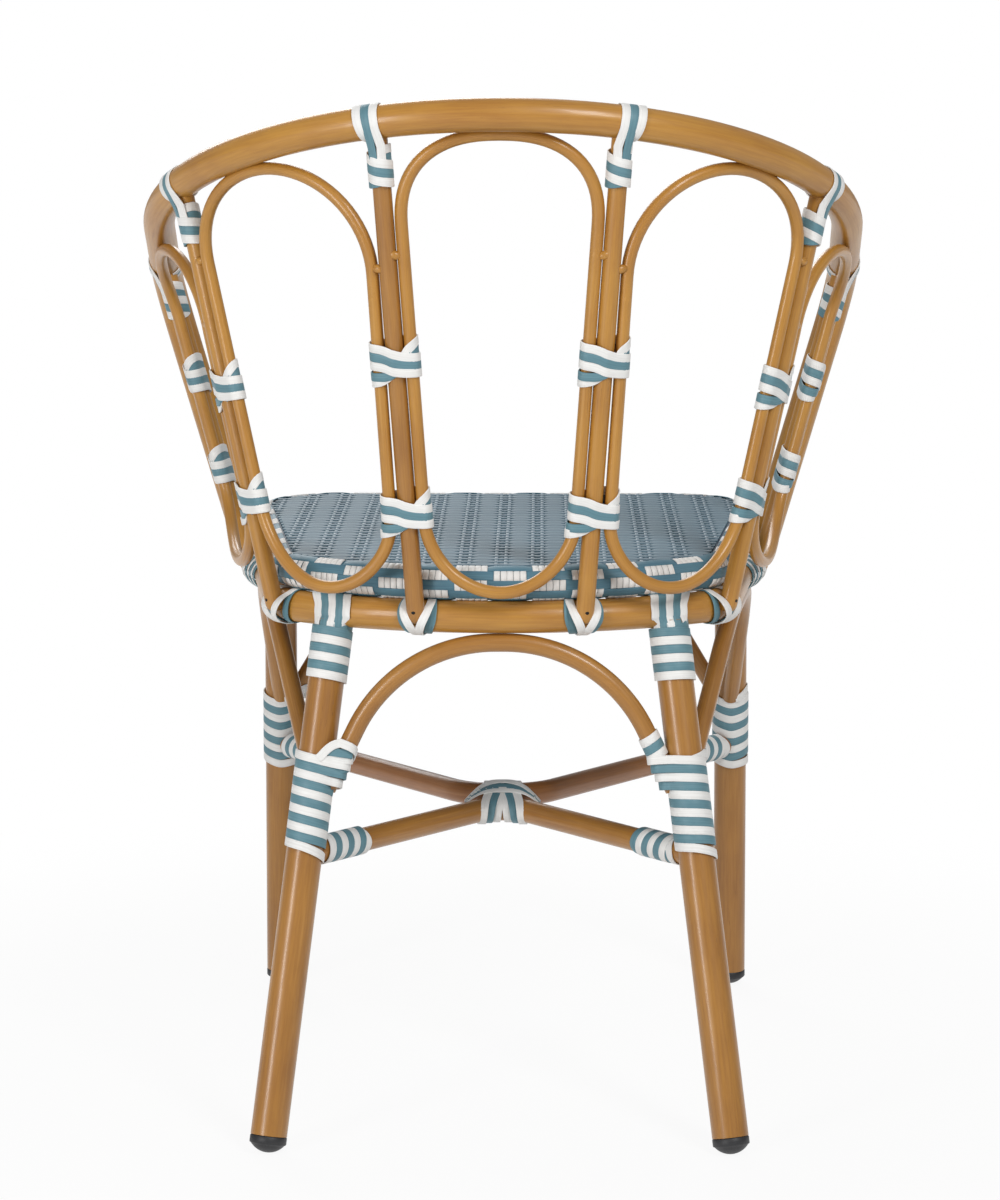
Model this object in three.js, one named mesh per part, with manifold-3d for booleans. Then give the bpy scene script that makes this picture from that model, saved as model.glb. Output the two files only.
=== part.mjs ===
// A cafe armchair of bent metal tube with a bamboo look. A top rail sweeps round the back and
// down to the front of the seat ring, six posts and five closed loops fill the back and the
// sides, four splayed legs carry the ring with an arch between each two, two bent stretchers
// are tied back to back, and flat strips are wound round the joints. The seat is woven over
// its own frame tube. Millimetres, +Z up. The sitter faces -Y and +X is the sitter's left.

import * as THREE from 'three';
import { mergeVertices } from 'three/addons/utils/BufferGeometryUtils.js';
import Module from 'manifold-3d';

const wasm = await Module();
wasm.setup();

// Fits
const FIT_GAP = 0.3;
const CUT_OVERRUN = 6;
const LEAST_STEP = 0.001;
const MERGE_REACH = 0.0001;

// Tubes
const LEG_RADIUS = 14.3;
const LEG_WALL = 1.5;
const RING_RADIUS = 12.7;
const RAIL_RADIUS = 12.7;
const POST_RADIUS = 7.15;
const LOOP_RADIUS = 5;
const ARCH_RADIUS = 7.3;
const STRETCHER_RADIUS = 9.5;
const SEAT_TUBE_RADIUS = 9.6;

// Seat ring: half of its outline, from the middle of the back to the middle of the front
const RING_HEIGHT = 410.3;
const RING_BACK_X = 86.5;
const RING_BACK_Y = 226.2;
const RING_CORNER_X = 177;
const RING_CORNER_Y = 164;
const RING_FRONT_X = 224.5;
const RING_FRONT_Y = -210.6;
const RING_BACK_BEND = 260;
const RING_CORNER_BEND = 55;
const RING_FRONT_BEND = 65;

// Woven seat
const WEAVE_THICKNESS = 3.1;
const WEAVE_PANEL_INSET = 34;
const SEAT_SIDE_CLEARANCE = 1.6;
const SEAT_REAR_INSET = 4;

// Top rail
const RAIL_FOOT_OUT = 11.8;
const RAIL_FOOT_Y = -104;
const RAIL_FOOT_RISE = 5;
const ARM_X = 287.8;
const ARM_Y = -85;
const ARM_HEIGHT = 647.5;
const ARM_BEND = 70;
const BACK_X = 266.1;
const BACK_Y = 301.4;
const BACK_HEIGHT = 800.8;
const BACK_BEND = 279.9;

// Posts
const POST_STANDOFF = 15;
const POST_TIP_DROP = 12;
const REAR_POST_RING_X = 62;
const REAR_POST_RAIL_X = 91.7;
const CORNER_POST_RING_X = 168;
const CORNER_POST_RAIL_X = 250.7;
const SIDE_POST_RING_Y = -35;
const SIDE_POST_RAIL_Y = -30;

// Loops between the posts
const LOOP_FOOT_HEIGHT = 57;
const LOOP_FOOT_RISE = 23;
const REAR_LOOP_TOP_HEIGHT = 70;
const CORNER_LOOP_TOP_HEIGHT = 79;
const SIDE_LOOP_CLEARANCE = 5.5;
const SIDE_LOOP_DROP = 22;
const REAR_LOOP_BULGE = 13;
const CORNER_LOOP_BULGE = 20;
const SIDE_LOOP_BULGE = 13;
const REAR_LOOP_SET_IN = 10.5;
const CORNER_LOOP_SET_IN = 5;
const REAR_LOOP_ROUNDNESS = 2.35;
const CORNER_LOOP_ROUNDNESS = 1.95;
const SIDE_LOOP_ROUNDNESS = 2.1;
const LOOP_FOOT_ROUNDNESS = 2;
const CORNER_LEAN_SHARE = 0.3;
const SIDE_LEAN_SHARE = 0.35;

// Legs and their caps
const REAR_LEG_TOP_X = 131;
const REAR_FOOT_X = 181.2;
const REAR_FOOT_Y = 302.5;
const FRONT_LEG_TOP_X = 201.7;
const FRONT_LEG_TOP_Y = -190;
const FRONT_FOOT_X = 204.4;
const FRONT_FOOT_Y = -203;
const LEG_SADDLE_DEPTH = 5;
const CAP_SKIRT = 6.5;
const CAP_DOME = 6.5;
const CAP_DOME_RADIUS = 13.2;
const CAP_STEM = 18;
const CAP_FLAT_DEPTH = 0.5;

// Arches under the ring
const REAR_ARCH_CORNER_X = 80.4;
const REAR_ARCH_BEND = 122;
const REAR_ARCH_COVER = 16;
const FRONT_ARCH_CORNER_X = 118;
const FRONT_ARCH_BEND = 122;
const FRONT_ARCH_COVER = 8;
const SIDE_ARCH_BACK_Y = 96;
const SIDE_ARCH_FRONT_Y = -96;
const SIDE_ARCH_BEND = 122;
const SIDE_ARCH_REAR_COVER = 7;

// Stretchers
const STRETCHER_CLEARANCE = 2;
const REAR_BOW_Y = 62;
const REAR_BOW_BEND = 30;
const FRONT_BOW_BEND = 50;
const FRONT_BOW_LIFT = 10;

// Wound strips
const STRIP_WIDTH = 6.7;
const STRIP_THICKNESS = 1.2;
const STRIP_PITCH = 7.3;
const KNOT_SLACK = 0.3;
const RAIL_WRAP_START = 21;
const WRAP_HEIGHT_SHARES = {
  rear: { mid: 0.566, low: 0.259 },
  corner: { mid: 0.566, low: 0.299 },
  side: { mid: 0.684, low: 0.386 },
};
const LEG_WRAP_START = 23;
const REAR_MID_WRAP_DROP = 120.3;
const FRONT_MID_WRAP_DROP = 133.3;

// Counts
const TUBE_SIDES = 12;
const THIN_SIDES = 8;
const LEG_SIDES = 16;
const BEND_STEP = Math.PI / 13;
const LOOP_ARC_STEPS = 12;
const LOOP_SIDE_STEPS = 4;
const WRAP_SIDES = 8;
const RAIL_WRAP_TURNS = 3;
const SIDE_RAIL_WRAP_TURNS = 2;
const CLUSTER_WRAP_TURNS = 4;
const LEG_WRAP_TURNS = 6;
const REAR_MID_TURNS = 7;
const FRONT_MID_TURNS = 5;
const KNOT_TURNS = 4;
const LEAST_SLOPE = 0.3;
const DOME_STEPS = 3;

const UP = new THREE.Vector3(0, 0, 1);
const ALONG_X = new THREE.Vector3(1, 0, 0);

const bamboo = { color: 0xb58846, roughness: 0.38, metalness: 0.1 };
const darkBamboo = { color: 0xa0703a, roughness: 0.42, metalness: 0.1 };
const rubber = { color: 0x2a2a2c, roughness: 0.6, metalness: 0 };
const weave = { color: 0x7a8f9e, roughness: 0.55, metalness: 0 };
const strip = { color: 0xd9dede, roughness: 0.5, metalness: 0 };
const metal = { color: 0x8f8f8f, roughness: 0.45, metalness: 0.8 };

// A line through chosen stations. Each station becomes one ring of a tube, so straight
// stretches cost nothing and bends get as many rings as they need.
class Route extends THREE.Curve {
  constructor(points, closed = false) {
    super();
    this.points = points;
    this.closed = closed;
  }

  get count() {
    return this.closed ? this.points.length : this.points.length - 1;
  }

  station(index) {
    const total = this.points.length;
    if (this.closed) return this.points[((index % total) + total) % total];
    return this.points[Math.min(Math.max(index, 0), total - 1)];
  }

  getPoint(share, target = new THREE.Vector3()) {
    const place = share * this.count;
    const index = Math.min(Math.floor(place + 1e-9), this.count - 1);
    return target.copy(this.station(index)).lerp(this.station(index + 1), place - index);
  }

  getPointAt(share, target) {
    return this.getPoint(share, target);
  }

  getTangentAt(share, target = new THREE.Vector3()) {
    const index = Math.round(share * this.count);
    const here = this.station(index);
    const before = here.clone().sub(this.station(index - 1)).normalize();
    const after = this.station(index + 1).clone().sub(here).normalize();
    return target.copy(before.add(after)).normalize();
  }
}

function vec(x, y, z) {
  return new THREE.Vector3(x, y, z);
}

// The same route with each end carried on by the tube's radius, past the corners of its end face.
function carriedOn(route, radius) {
  const [start, end] = [route.station(0), route.station(route.count)];
  const before = start.clone().sub(route.station(1)).setLength(radius).add(start);
  const after = end.clone().sub(route.station(route.count - 1)).setLength(radius).add(end);
  return new Route([before, ...route.points.slice(1, -1), after]);
}

function mirrorX(point) {
  return vec(-point.x, point.y, point.z);
}

// Straight legs between the corners with a round bend of the given radius at each one.
function bentPoints(corners, bends, closed = false, step = BEND_STEP) {
  const points = [];
  corners.forEach((corner, index) => {
    const isEnd = !closed && (index === 0 || index === corners.length - 1);
    if (isEnd) {
      points.push(corner.clone());
      return;
    }
    const before = corners[(index + corners.length - 1) % corners.length].clone().sub(corner);
    const after = corners[(index + 1) % corners.length].clone().sub(corner);
    const room = Math.min(before.length(), after.length());
    before.normalize();
    after.normalize();
    const half = before.angleTo(after) / 2;
    const radius = Math.min(bends[index], room * Math.tan(half));
    const middle = before.clone().add(after).normalize();
    const centre = corner.clone().addScaledVector(middle, radius / Math.sin(half));
    const start = corner.clone().addScaledVector(before, radius / Math.tan(half)).sub(centre);
    const axis = after.clone().cross(before).normalize();
    const turn = Math.PI - 2 * half;
    const steps = Math.max(2, Math.ceil(turn / step));
    for (let k = 0; k <= steps; k++) {
      points.push(start.clone().applyAxisAngle(axis, (turn * k) / steps).add(centre));
    }
  });
  return points.filter((point, index) => index === 0 || point.distanceTo(points[index - 1]) > LEAST_STEP);
}

function polygon(radius, sides) {
  const corners = [];
  for (let k = 0; k < sides; k++) {
    const angle = (2 * Math.PI * (k + 0.5)) / sides;
    corners.push(new THREE.Vector2(radius * Math.cos(angle), radius * Math.sin(angle)));
  }
  return corners;
}

// Only positions, shared corners merged, no flat triangles, and faces that point outwards.
function closedGeometry(source) {
  const bare = source.clone();
  bare.deleteAttribute('normal');
  bare.deleteAttribute('uv');
  const merged = mergeVertices(bare, MERGE_REACH);
  const position = merged.getAttribute('position');
  const index = merged.getIndex().array;
  const corner = (k) => vec().fromBufferAttribute(position, k);
  const kept = [];
  let volume = 0;
  for (let k = 0; k < index.length; k += 3) {
    const [a, b, c] = [index[k], index[k + 1], index[k + 2]];
    if (a === b || b === c || c === a) continue;
    kept.push(a, b, c);
    volume += corner(a).dot(corner(b).cross(corner(c)));
  }
  if (volume < 0) kept.reverse();
  merged.setIndex(kept);
  return merged;
}

function toSolid(source) {
  const geometry = closedGeometry(source);
  return new wasm.Manifold(new wasm.Mesh({
    numProp: 3,
    vertProperties: new Float32Array(geometry.getAttribute('position').array),
    triVerts: new Uint32Array(geometry.getIndex().array),
  }));
}

function fromSolid(solid) {
  const mesh = solid.getMesh();
  const geometry = new THREE.BufferGeometry();
  geometry.setAttribute('position', new THREE.BufferAttribute(mesh.vertProperties, 3));
  geometry.setIndex(new THREE.BufferAttribute(mesh.triVerts, 1));
  return geometry;
}

// A tube with closed ends along an open route.
function openTube(route, radius, sides, bore = 0) {
  const shape = new THREE.Shape(polygon(radius, sides));
  if (bore > 0) shape.holes.push(new THREE.Path(polygon(bore, sides)));
  return new THREE.ExtrudeGeometry(shape, {
    steps: route.count,
    bevelEnabled: false,
    extrudePath: route,
  });
}

function straightTube(from, to, radius, sides, bore = 0) {
  return openTube(new Route([from, to]), radius, sides, bore);
}

// A tube that closes on itself.
function closedTube(route, radius, sides) {
  return new THREE.TubeGeometry(route, route.count, radius, sides, true);
}

// A body through closed sections that follow each other round a closed outline.
function sectionLoop(sections) {
  const size = sections[0].length;
  const positions = sections.flat().flatMap((point) => [point.x, point.y, point.z]);
  const index = [];
  for (let s = 0; s < sections.length; s++) {
    const next = (s + 1) % sections.length;
    for (let k = 0; k < size; k++) {
      const after = (k + 1) % size;
      const [a, b] = [s * size + k, s * size + after];
      const [c, d] = [next * size + after, next * size + k];
      index.push(a, b, c, a, c, d);
    }
  }
  const geometry = new THREE.BufferGeometry();
  geometry.setAttribute('position', new THREE.Float32BufferAttribute(positions, 3));
  geometry.setIndex(index);
  return geometry;
}

// Where a route first passes the given value of x or y.
function crossing(route, axis, value) {
  for (let k = 0; k < route.count; k++) {
    const from = route.station(k);
    const to = route.station(k + 1);
    const [low, high] = [from[axis] - value, to[axis] - value];
    if (low * high > 0 || low === high) continue;
    return {
      point: from.clone().lerp(to, low / (low - high)),
      along: to.clone().sub(from).normalize(),
    };
  }
  throw new Error(`nothing at ${axis} ${value}`);
}

// Where a route passes a plane, at the place nearest to the plane's own point.
function planeCrossing(route, origin, normal) {
  let best = null;
  for (let k = 0; k < route.count; k++) {
    const from = route.station(k);
    const to = route.station(k + 1);
    const low = from.clone().sub(origin).dot(normal);
    const high = to.clone().sub(origin).dot(normal);
    if (low * high > 0 || low === high) continue;
    const point = from.clone().lerp(to, low / (low - high));
    if (best && best.point.distanceTo(origin) <= point.distanceTo(origin)) continue;
    best = { point, slope: Math.abs(to.clone().sub(from).normalize().dot(normal)) };
  }
  return best;
}

const parts = [];

function addPart(name, geometry, look) {
  const mesh = new THREE.Mesh(geometry, new THREE.MeshStandardMaterial(look));
  mesh.name = name;
  parts.push(mesh);
}

// Seat ring
function ringHalfCorners(height) {
  return {
    corners: [
      vec(RING_BACK_X, RING_BACK_Y, height),
      vec(RING_CORNER_X, RING_CORNER_Y, height),
      vec(RING_FRONT_X, RING_FRONT_Y, height),
    ],
    bends: [RING_BACK_BEND, RING_CORNER_BEND, RING_FRONT_BEND],
  };
}

// The half outline with each of its four sides drawn in by its own amount.
function drawIn({ corners, bends }, insets) {
  const height = corners[0].z;
  const line = [vec(0, corners[0].y, height), ...corners, vec(0, corners[2].y, height)];
  const sides = insets.map((inset, index) => {
    const along = line[index + 1].clone().sub(line[index]).normalize();
    return vec(-along.y, along.x, 0);
  });
  return {
    corners: corners.map((corner, index) => {
      const [first, second] = [sides[index], sides[index + 1]];
      const [a, b] = [insets[index], insets[index + 1]];
      const lap = first.dot(second);
      return corner.clone()
        .addScaledVector(first, (b * lap - a) / (1 - lap ** 2))
        .addScaledVector(second, (a * lap - b) / (1 - lap ** 2));
    }),
    bends: bends.map((bend, index) => bend - (insets[index] + insets[index + 1]) / 2),
  };
}

function ringPath({ corners, bends }) {
  const others = corners.map(mirrorX).reverse();
  return new Route(bentPoints([...corners, ...others], [...bends, ...bends.slice().reverse()], true), true);
}

function ringHalfPath(height) {
  const { corners, bends } = ringHalfCorners(height);
  const ends = [vec(0, RING_BACK_Y, height), vec(0, RING_FRONT_Y, height)];
  return new Route(bentPoints([ends[0], ...corners, ends[1]], [0, ...bends, 0]));
}

const ring = ringPath(ringHalfCorners(RING_HEIGHT));
const ringHalf = ringHalfPath(RING_HEIGHT);
const ringCutter = toSolid(closedTube(ring, RING_RADIUS + FIT_GAP, TUBE_SIDES));

// Top rail
function railHalfCorners() {
  const seat = crossing(ringHalf, 'y', RAIL_FOOT_Y).point;
  return [
    vec(0, BACK_Y, BACK_HEIGHT),
    vec(BACK_X, BACK_Y, BACK_HEIGHT),
    vec(ARM_X, ARM_Y, ARM_HEIGHT),
    vec(seat.x + RAIL_FOOT_OUT, RAIL_FOOT_Y, RING_HEIGHT + RAIL_FOOT_RISE),
  ];
}

const railHalf = new Route(bentPoints(railHalfCorners(), [0, BACK_BEND, ARM_BEND, 0]));

function railPath() {
  const half = railHalf.points.slice(1);
  return new Route([...half.slice().reverse().map(mirrorX), ...half]);
}

const rail = railPath();
const railCutter = toSolid(openTube(rail, RAIL_RADIUS + FIT_GAP, TUBE_SIDES));

// Posts: where they leave the ring and where they meet the rail, for one side
function postLine(ringAxis, ringValue, railAxis, railValue) {
  const seat = crossing(ringHalf, ringAxis, ringValue);
  const side = vec(-seat.along.y, seat.along.x, 0).normalize();
  if (side.dot(seat.point) < 0) side.negate();
  return {
    foot: seat.point.clone().addScaledVector(side, POST_STANDOFF),
    top: crossing(railHalf, railAxis, railValue).point,
    side,
  };
}

const postLines = {
  rear: postLine('x', REAR_POST_RING_X, 'x', REAR_POST_RAIL_X),
  corner: postLine('x', CORNER_POST_RING_X, 'x', CORNER_POST_RAIL_X),
  side: postLine('y', SIDE_POST_RING_Y, 'y', SIDE_POST_RAIL_Y),
};

function postAt(line, height) {
  const share = (height - line.foot.z) / (line.top.z - line.foot.z);
  return line.foot.clone().lerp(line.top, share);
}

function mirrored(line) {
  return { foot: mirrorX(line.foot), top: mirrorX(line.top), side: mirrorX(line.side) };
}

// A post's lower end laps the outside of the ring and is rounded like a tongue.
function makePost(line) {
  const tip = postAt(line, RING_HEIGHT - POST_TIP_DROP);
  let post = toSolid(straightTube(tip, line.top, POST_RADIUS, TUBE_SIDES));
  post = post.subtract(ringCutter).subtract(railCutter);
  const centre = tip.clone().addScaledVector(UP, POST_RADIUS);
  const reach = line.side.clone().multiplyScalar(POST_RADIUS + CUT_OVERRUN);
  const round = toSolid(straightTube(centre.clone().sub(reach), centre.clone().add(reach), POST_RADIUS, TUBE_SIDES));
  const above = new THREE.BoxGeometry(2 * BACK_X, 2 * BACK_X, BACK_HEIGHT);
  above.translate(centre.x, centre.y, centre.z + BACK_HEIGHT / 2);
  return fromSolid(post.intersect(toSolid(above).add(round)));
}

// How far a loop's crown, set in from the rail's own line, lies below it.
function crownDrop(setIn) {
  return Math.sqrt((RAIL_RADIUS + FIT_GAP + LOOP_RADIUS) ** 2 - setIn ** 2);
}

// Loops: closed ovals on the curved surface between two posts, under the rail
function bulgedPoint(bay, height, share) {
  const left = postAt(bay.from, height);
  const right = postAt(bay.to, height);
  const chord = right.clone().sub(left);
  const out = vec(-chord.y, chord.x, 0).normalize();
  if (out.dot(left.clone().add(right)) < 0) out.negate();
  const rise = (height - RING_HEIGHT) / (bay.top.z - RING_HEIGHT);
  const depth = THREE.MathUtils.lerp(bay.bulge, bay.topBulge, rise);
  return left.lerp(right, share).addScaledVector(out, 4 * depth * share * (1 - share));
}

function makeBay(from, to, form) {
  const chordMiddle = from.top.clone().add(to.top).multiplyScalar(0.5);
  const top = planeCrossing(railHalf, chordMiddle, to.top.clone().sub(from.top).setZ(0).normalize()).point;
  const topBulge = Math.hypot(top.x - chordMiddle.x, top.y - chordMiddle.y) - form.setIn;
  const crown = top.z - form.drop;
  const shoulder = form.shoulder ?? crown - form.topHeight;
  const lean = (to.top.z - from.top.z) * form.leanShare;
  return { ...form, from, to, top, topBulge, crown, shoulder, lean };
}

function sideShare(bay, height) {
  const width = postAt(bay.from, height).distanceTo(postAt(bay.to, height));
  return (POST_RADIUS + LOOP_RADIUS + FIT_GAP) / width;
}

function loopPoint(bay, height, across, lift) {
  const margin = sideShare(bay, height);
  const share = 0.5 + across * (0.5 - margin);
  const point = bulgedPoint(bay, height, share);
  point.z += bay.lean * (share - 0.5) * lift;
  return point;
}

// The top leans with the rail, the foot is a half round.
function loopRoute(bay) {
  const hip = RING_HEIGHT + LOOP_FOOT_RISE + LOOP_FOOT_HEIGHT;
  const points = [];
  for (let k = 0; k <= LOOP_ARC_STEPS; k++) {
    const angle = (Math.PI * k) / LOOP_ARC_STEPS;
    const across = Math.sign(Math.cos(angle)) * Math.abs(Math.cos(angle)) ** (2 / bay.roundness);
    const rise = Math.sin(angle) ** (2 / bay.roundness);
    points.push(loopPoint(bay, THREE.MathUtils.lerp(bay.shoulder, bay.crown, rise), across, rise));
  }
  for (let k = 1; k < LOOP_SIDE_STEPS; k++) {
    const height = THREE.MathUtils.lerp(bay.shoulder, hip, k / LOOP_SIDE_STEPS);
    points.push(loopPoint(bay, height, -1, 0));
  }
  for (let k = 0; k <= LOOP_ARC_STEPS; k++) {
    const angle = (Math.PI * k) / LOOP_ARC_STEPS;
    const across = -Math.sign(Math.cos(angle)) * Math.abs(Math.cos(angle)) ** (2 / LOOP_FOOT_ROUNDNESS);
    const fall = Math.sin(angle) ** (2 / LOOP_FOOT_ROUNDNESS);
    points.push(loopPoint(bay, hip - LOOP_FOOT_HEIGHT * fall, across, 0));
  }
  for (let k = 1; k < LOOP_SIDE_STEPS; k++) {
    const height = THREE.MathUtils.lerp(hip, bay.shoulder, k / LOOP_SIDE_STEPS);
    points.push(loopPoint(bay, height, 1, 0));
  }
  return new Route(points, true);
}

// A loop, hollowed along its crown where the rail bears on it.
function makeLoop(route) {
  return fromSolid(toSolid(closedTube(route, LOOP_RADIUS, THIN_SIDES)).subtract(railCutter));
}

// Legs
function legLine(topX, topY, footX, footY) {
  return { top: vec(topX, topY, RING_HEIGHT), foot: vec(footX, footY, 0) };
}

const rearLeg = legLine(
  REAR_LEG_TOP_X, crossing(ringHalf, 'x', REAR_LEG_TOP_X).point.y, REAR_FOOT_X, REAR_FOOT_Y,
);
const frontLeg = legLine(FRONT_LEG_TOP_X, FRONT_LEG_TOP_Y, FRONT_FOOT_X, FRONT_FOOT_Y);
const CAP_SPHERE = (CAP_DOME_RADIUS ** 2 + CAP_DOME ** 2) / (2 * CAP_DOME);

function mirroredLeg(leg) {
  return { top: mirrorX(leg.top), foot: mirrorX(leg.foot) };
}

function legUp(leg) {
  return leg.top.clone().sub(leg.foot).normalize();
}

function legAt(leg, height) {
  return leg.foot.clone().lerp(leg.top, height / RING_HEIGHT);
}

// The middle of the dome's sphere, which puts the worn flat of the cap on the floor.
function capCentre(leg) {
  return legAt(leg, CAP_SPHERE - CAP_FLAT_DEPTH);
}

function makeLeg(leg) {
  const up = legUp(leg);
  const lower = capCentre(leg).addScaledVector(up, CAP_DOME - CAP_SPHERE + CAP_SKIRT + FIT_GAP);
  const upper = leg.top.clone().addScaledVector(up, LEG_SADDLE_DEPTH - RING_RADIUS);
  const tube = toSolid(straightTube(lower, upper, LEG_RADIUS, LEG_SIDES, LEG_RADIUS - LEG_WALL));
  return fromSolid(tube.subtract(ringCutter));
}

// A cap: domed foot, skirt as wide as the leg, and a stem that plugs the tube.
function makeCap(leg) {
  const base = CAP_DOME - CAP_SPHERE;
  const stem = LEG_RADIUS - LEG_WALL - FIT_GAP;
  const profile = [new THREE.Vector2(0, -CAP_SPHERE)];
  const rimAngle = Math.asin(CAP_DOME_RADIUS / CAP_SPHERE);
  for (let k = 1; k <= DOME_STEPS; k++) {
    const angle = (rimAngle * k) / DOME_STEPS;
    profile.push(new THREE.Vector2(CAP_SPHERE * Math.sin(angle), -CAP_SPHERE * Math.cos(angle)));
  }
  profile.push(
    new THREE.Vector2(LEG_RADIUS, base),
    new THREE.Vector2(LEG_RADIUS, base + CAP_SKIRT),
    new THREE.Vector2(stem, base + CAP_SKIRT),
    new THREE.Vector2(stem, base + CAP_SKIRT + CAP_STEM),
    new THREE.Vector2(0, base + CAP_SKIRT + CAP_STEM),
  );
  const cap = new THREE.LatheGeometry(profile, LEG_SIDES);
  cap.rotateX(Math.PI / 2);
  cap.applyQuaternion(new THREE.Quaternion().setFromUnitVectors(UP, legUp(leg)));
  const centre = capCentre(leg);
  cap.translate(centre.x, centre.y, centre.z);
  const floor = new THREE.BoxGeometry(8 * LEG_RADIUS, 8 * LEG_RADIUS, LEG_RADIUS);
  floor.translate(centre.x, centre.y, -LEG_RADIUS / 2);
  return fromSolid(toSolid(cap).subtract(toSolid(floor)));
}

// Arches: bent tubes against the ring's underside whose ends butt on the legs' sides
const ARCH_HEIGHT = RING_HEIGHT - RING_RADIUS - FIT_GAP - ARCH_RADIUS;
const REAR_MID_WRAP_HEIGHT = RING_HEIGHT - REAR_MID_WRAP_DROP;
const FRONT_MID_WRAP_HEIGHT = RING_HEIGHT - FRONT_MID_WRAP_DROP;

function legCutter(leg) {
  return toSolid(straightTube(leg.foot, leg.top, LEG_RADIUS + FIT_GAP, LEG_SIDES));
}

// Where an arch ends: on the side of the leg that faces the arch.
function archTip(leg, height, toward) {
  const axis = legAt(leg, height);
  const away = toward.clone().sub(axis).setZ(0).normalize();
  return axis.addScaledVector(away, LEG_RADIUS);
}

function crossArchRoute(leg, middleY, cornerX, bend, tipHeight) {
  const tip = archTip(leg, tipHeight, vec(0, legAt(leg, tipHeight).y, 0));
  const half = [vec(cornerX, middleY, ARCH_HEIGHT), tip];
  const corners = [...half.slice().reverse().map(mirrorX), ...half];
  return new Route(bentPoints(corners, [0, bend, bend, 0]));
}

function sideArchRoute() {
  const back = crossing(ringHalf, 'y', SIDE_ARCH_BACK_Y).point.setZ(ARCH_HEIGHT);
  const front = crossing(ringHalf, 'y', SIDE_ARCH_FRONT_Y).point.setZ(ARCH_HEIGHT);
  const rearTip = archTip(rearLeg, REAR_MID_WRAP_HEIGHT - SIDE_ARCH_REAR_COVER, front);
  const frontTip = archTip(frontLeg, FRONT_MID_WRAP_HEIGHT - FRONT_ARCH_COVER, back);
  return new Route(bentPoints([rearTip, back, front, frontTip], [0, SIDE_ARCH_BEND, SIDE_ARCH_BEND, 0]));
}

function makeArch(route, legs) {
  let arch = toSolid(openTube(route, ARCH_RADIUS, THIN_SIDES)).subtract(ringCutter);
  for (const leg of legs) arch = arch.subtract(legCutter(leg));
  return fromSolid(largest(arch));
}

// The piece that is left of a tube when a cut frees slivers from its ends.
function largest(solid) {
  const pieces = solid.decompose();
  return pieces.reduce((best, piece) => (piece.volume() > best.volume() ? piece : best));
}

// Stretchers: two bent tubes, back to back in the middle, below the strips of the rear legs
const REAR_MID_WRAP_LENGTH = REAR_MID_TURNS * STRIP_PITCH + STRIP_WIDTH / 2;
const STRETCHER_HEIGHT = REAR_MID_WRAP_HEIGHT - REAR_MID_WRAP_LENGTH - STRETCHER_CLEARANCE - STRETCHER_RADIUS;
const rearSeat = legAt(rearLeg, STRETCHER_HEIGHT);
const frontSeat = legAt(frontLeg, STRETCHER_HEIGHT);

function bowRoute(seat, cornerY, cornerZ, bend) {
  const corners = [seat, vec(0, cornerY, cornerZ), mirrorX(seat)];
  return new Route(bentPoints(corners, [0, bend, 0]));
}

// The front bow rests against the rear one, a little higher.
function frontBowCornerY(rearApexY) {
  const reach = 2 * STRETCHER_RADIUS + FIT_GAP;
  const apexY = rearApexY - Math.sqrt(reach ** 2 - FRONT_BOW_LIFT ** 2);
  let cornerY = apexY;
  for (let k = 0; k < 20; k++) {
    const route = bowRoute(frontSeat, cornerY, STRETCHER_HEIGHT + FRONT_BOW_LIFT, FRONT_BOW_BEND);
    cornerY += apexY - crossing(route, 'x', 0).point.y;
  }
  return cornerY;
}

const rearBow = bowRoute(rearSeat, REAR_BOW_Y, STRETCHER_HEIGHT, REAR_BOW_BEND);
const rearApexY = crossing(rearBow, 'x', 0).point.y;
const frontBow = bowRoute(
  frontSeat, frontBowCornerY(rearApexY), STRETCHER_HEIGHT + FRONT_BOW_LIFT, FRONT_BOW_BEND,
);

function makeBow(route, leg) {
  const bow = toSolid(openTube(route, STRETCHER_RADIUS, TUBE_SIDES));
  return fromSolid(largest(bow.subtract(legCutter(leg)).subtract(legCutter(mirroredLeg(leg)))));
}

// Seat: a frame tube above the ring and a woven panel whose edge is rolled round it
const WEAVE_INNER = SEAT_TUBE_RADIUS + FIT_GAP;
const WEAVE_OUTER = WEAVE_INNER + WEAVE_THICKNESS;
const SEAT_TUBE_HEIGHT = RING_HEIGHT + RING_RADIUS + FIT_GAP + WEAVE_OUTER;
const SEAT_SIDE_INSET = seatSideInset();
const seatInsets = [SEAT_REAR_INSET, (SEAT_REAR_INSET + SEAT_SIDE_INSET) / 2, SEAT_SIDE_INSET, 0];
const seatPath = ringPath(drawIn(ringHalfCorners(SEAT_TUBE_HEIGHT), seatInsets));

// The seat keeps inside the arms, which come down close above the ring.
function seatSideInset() {
  const beside = crossing(railHalf, 'z', RING_HEIGHT + RING_RADIUS + WEAVE_OUTER - FIT_GAP);
  const edge = crossing(ringHalf, 'y', beside.point.y).point;
  const reach = RAIL_RADIUS / Math.hypot(beside.along.y, beside.along.z);
  return WEAVE_OUTER + reach + SEAT_SIDE_CLEARANCE - (beside.point.x - edge.x);
}

function ringOut(path, index) {
  const along = path.getTangentAt(index / path.count);
  const out = vec(along.y, -along.x, 0).normalize();
  return out.dot(path.points[index]) < 0 ? out.negate() : out;
}

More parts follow.
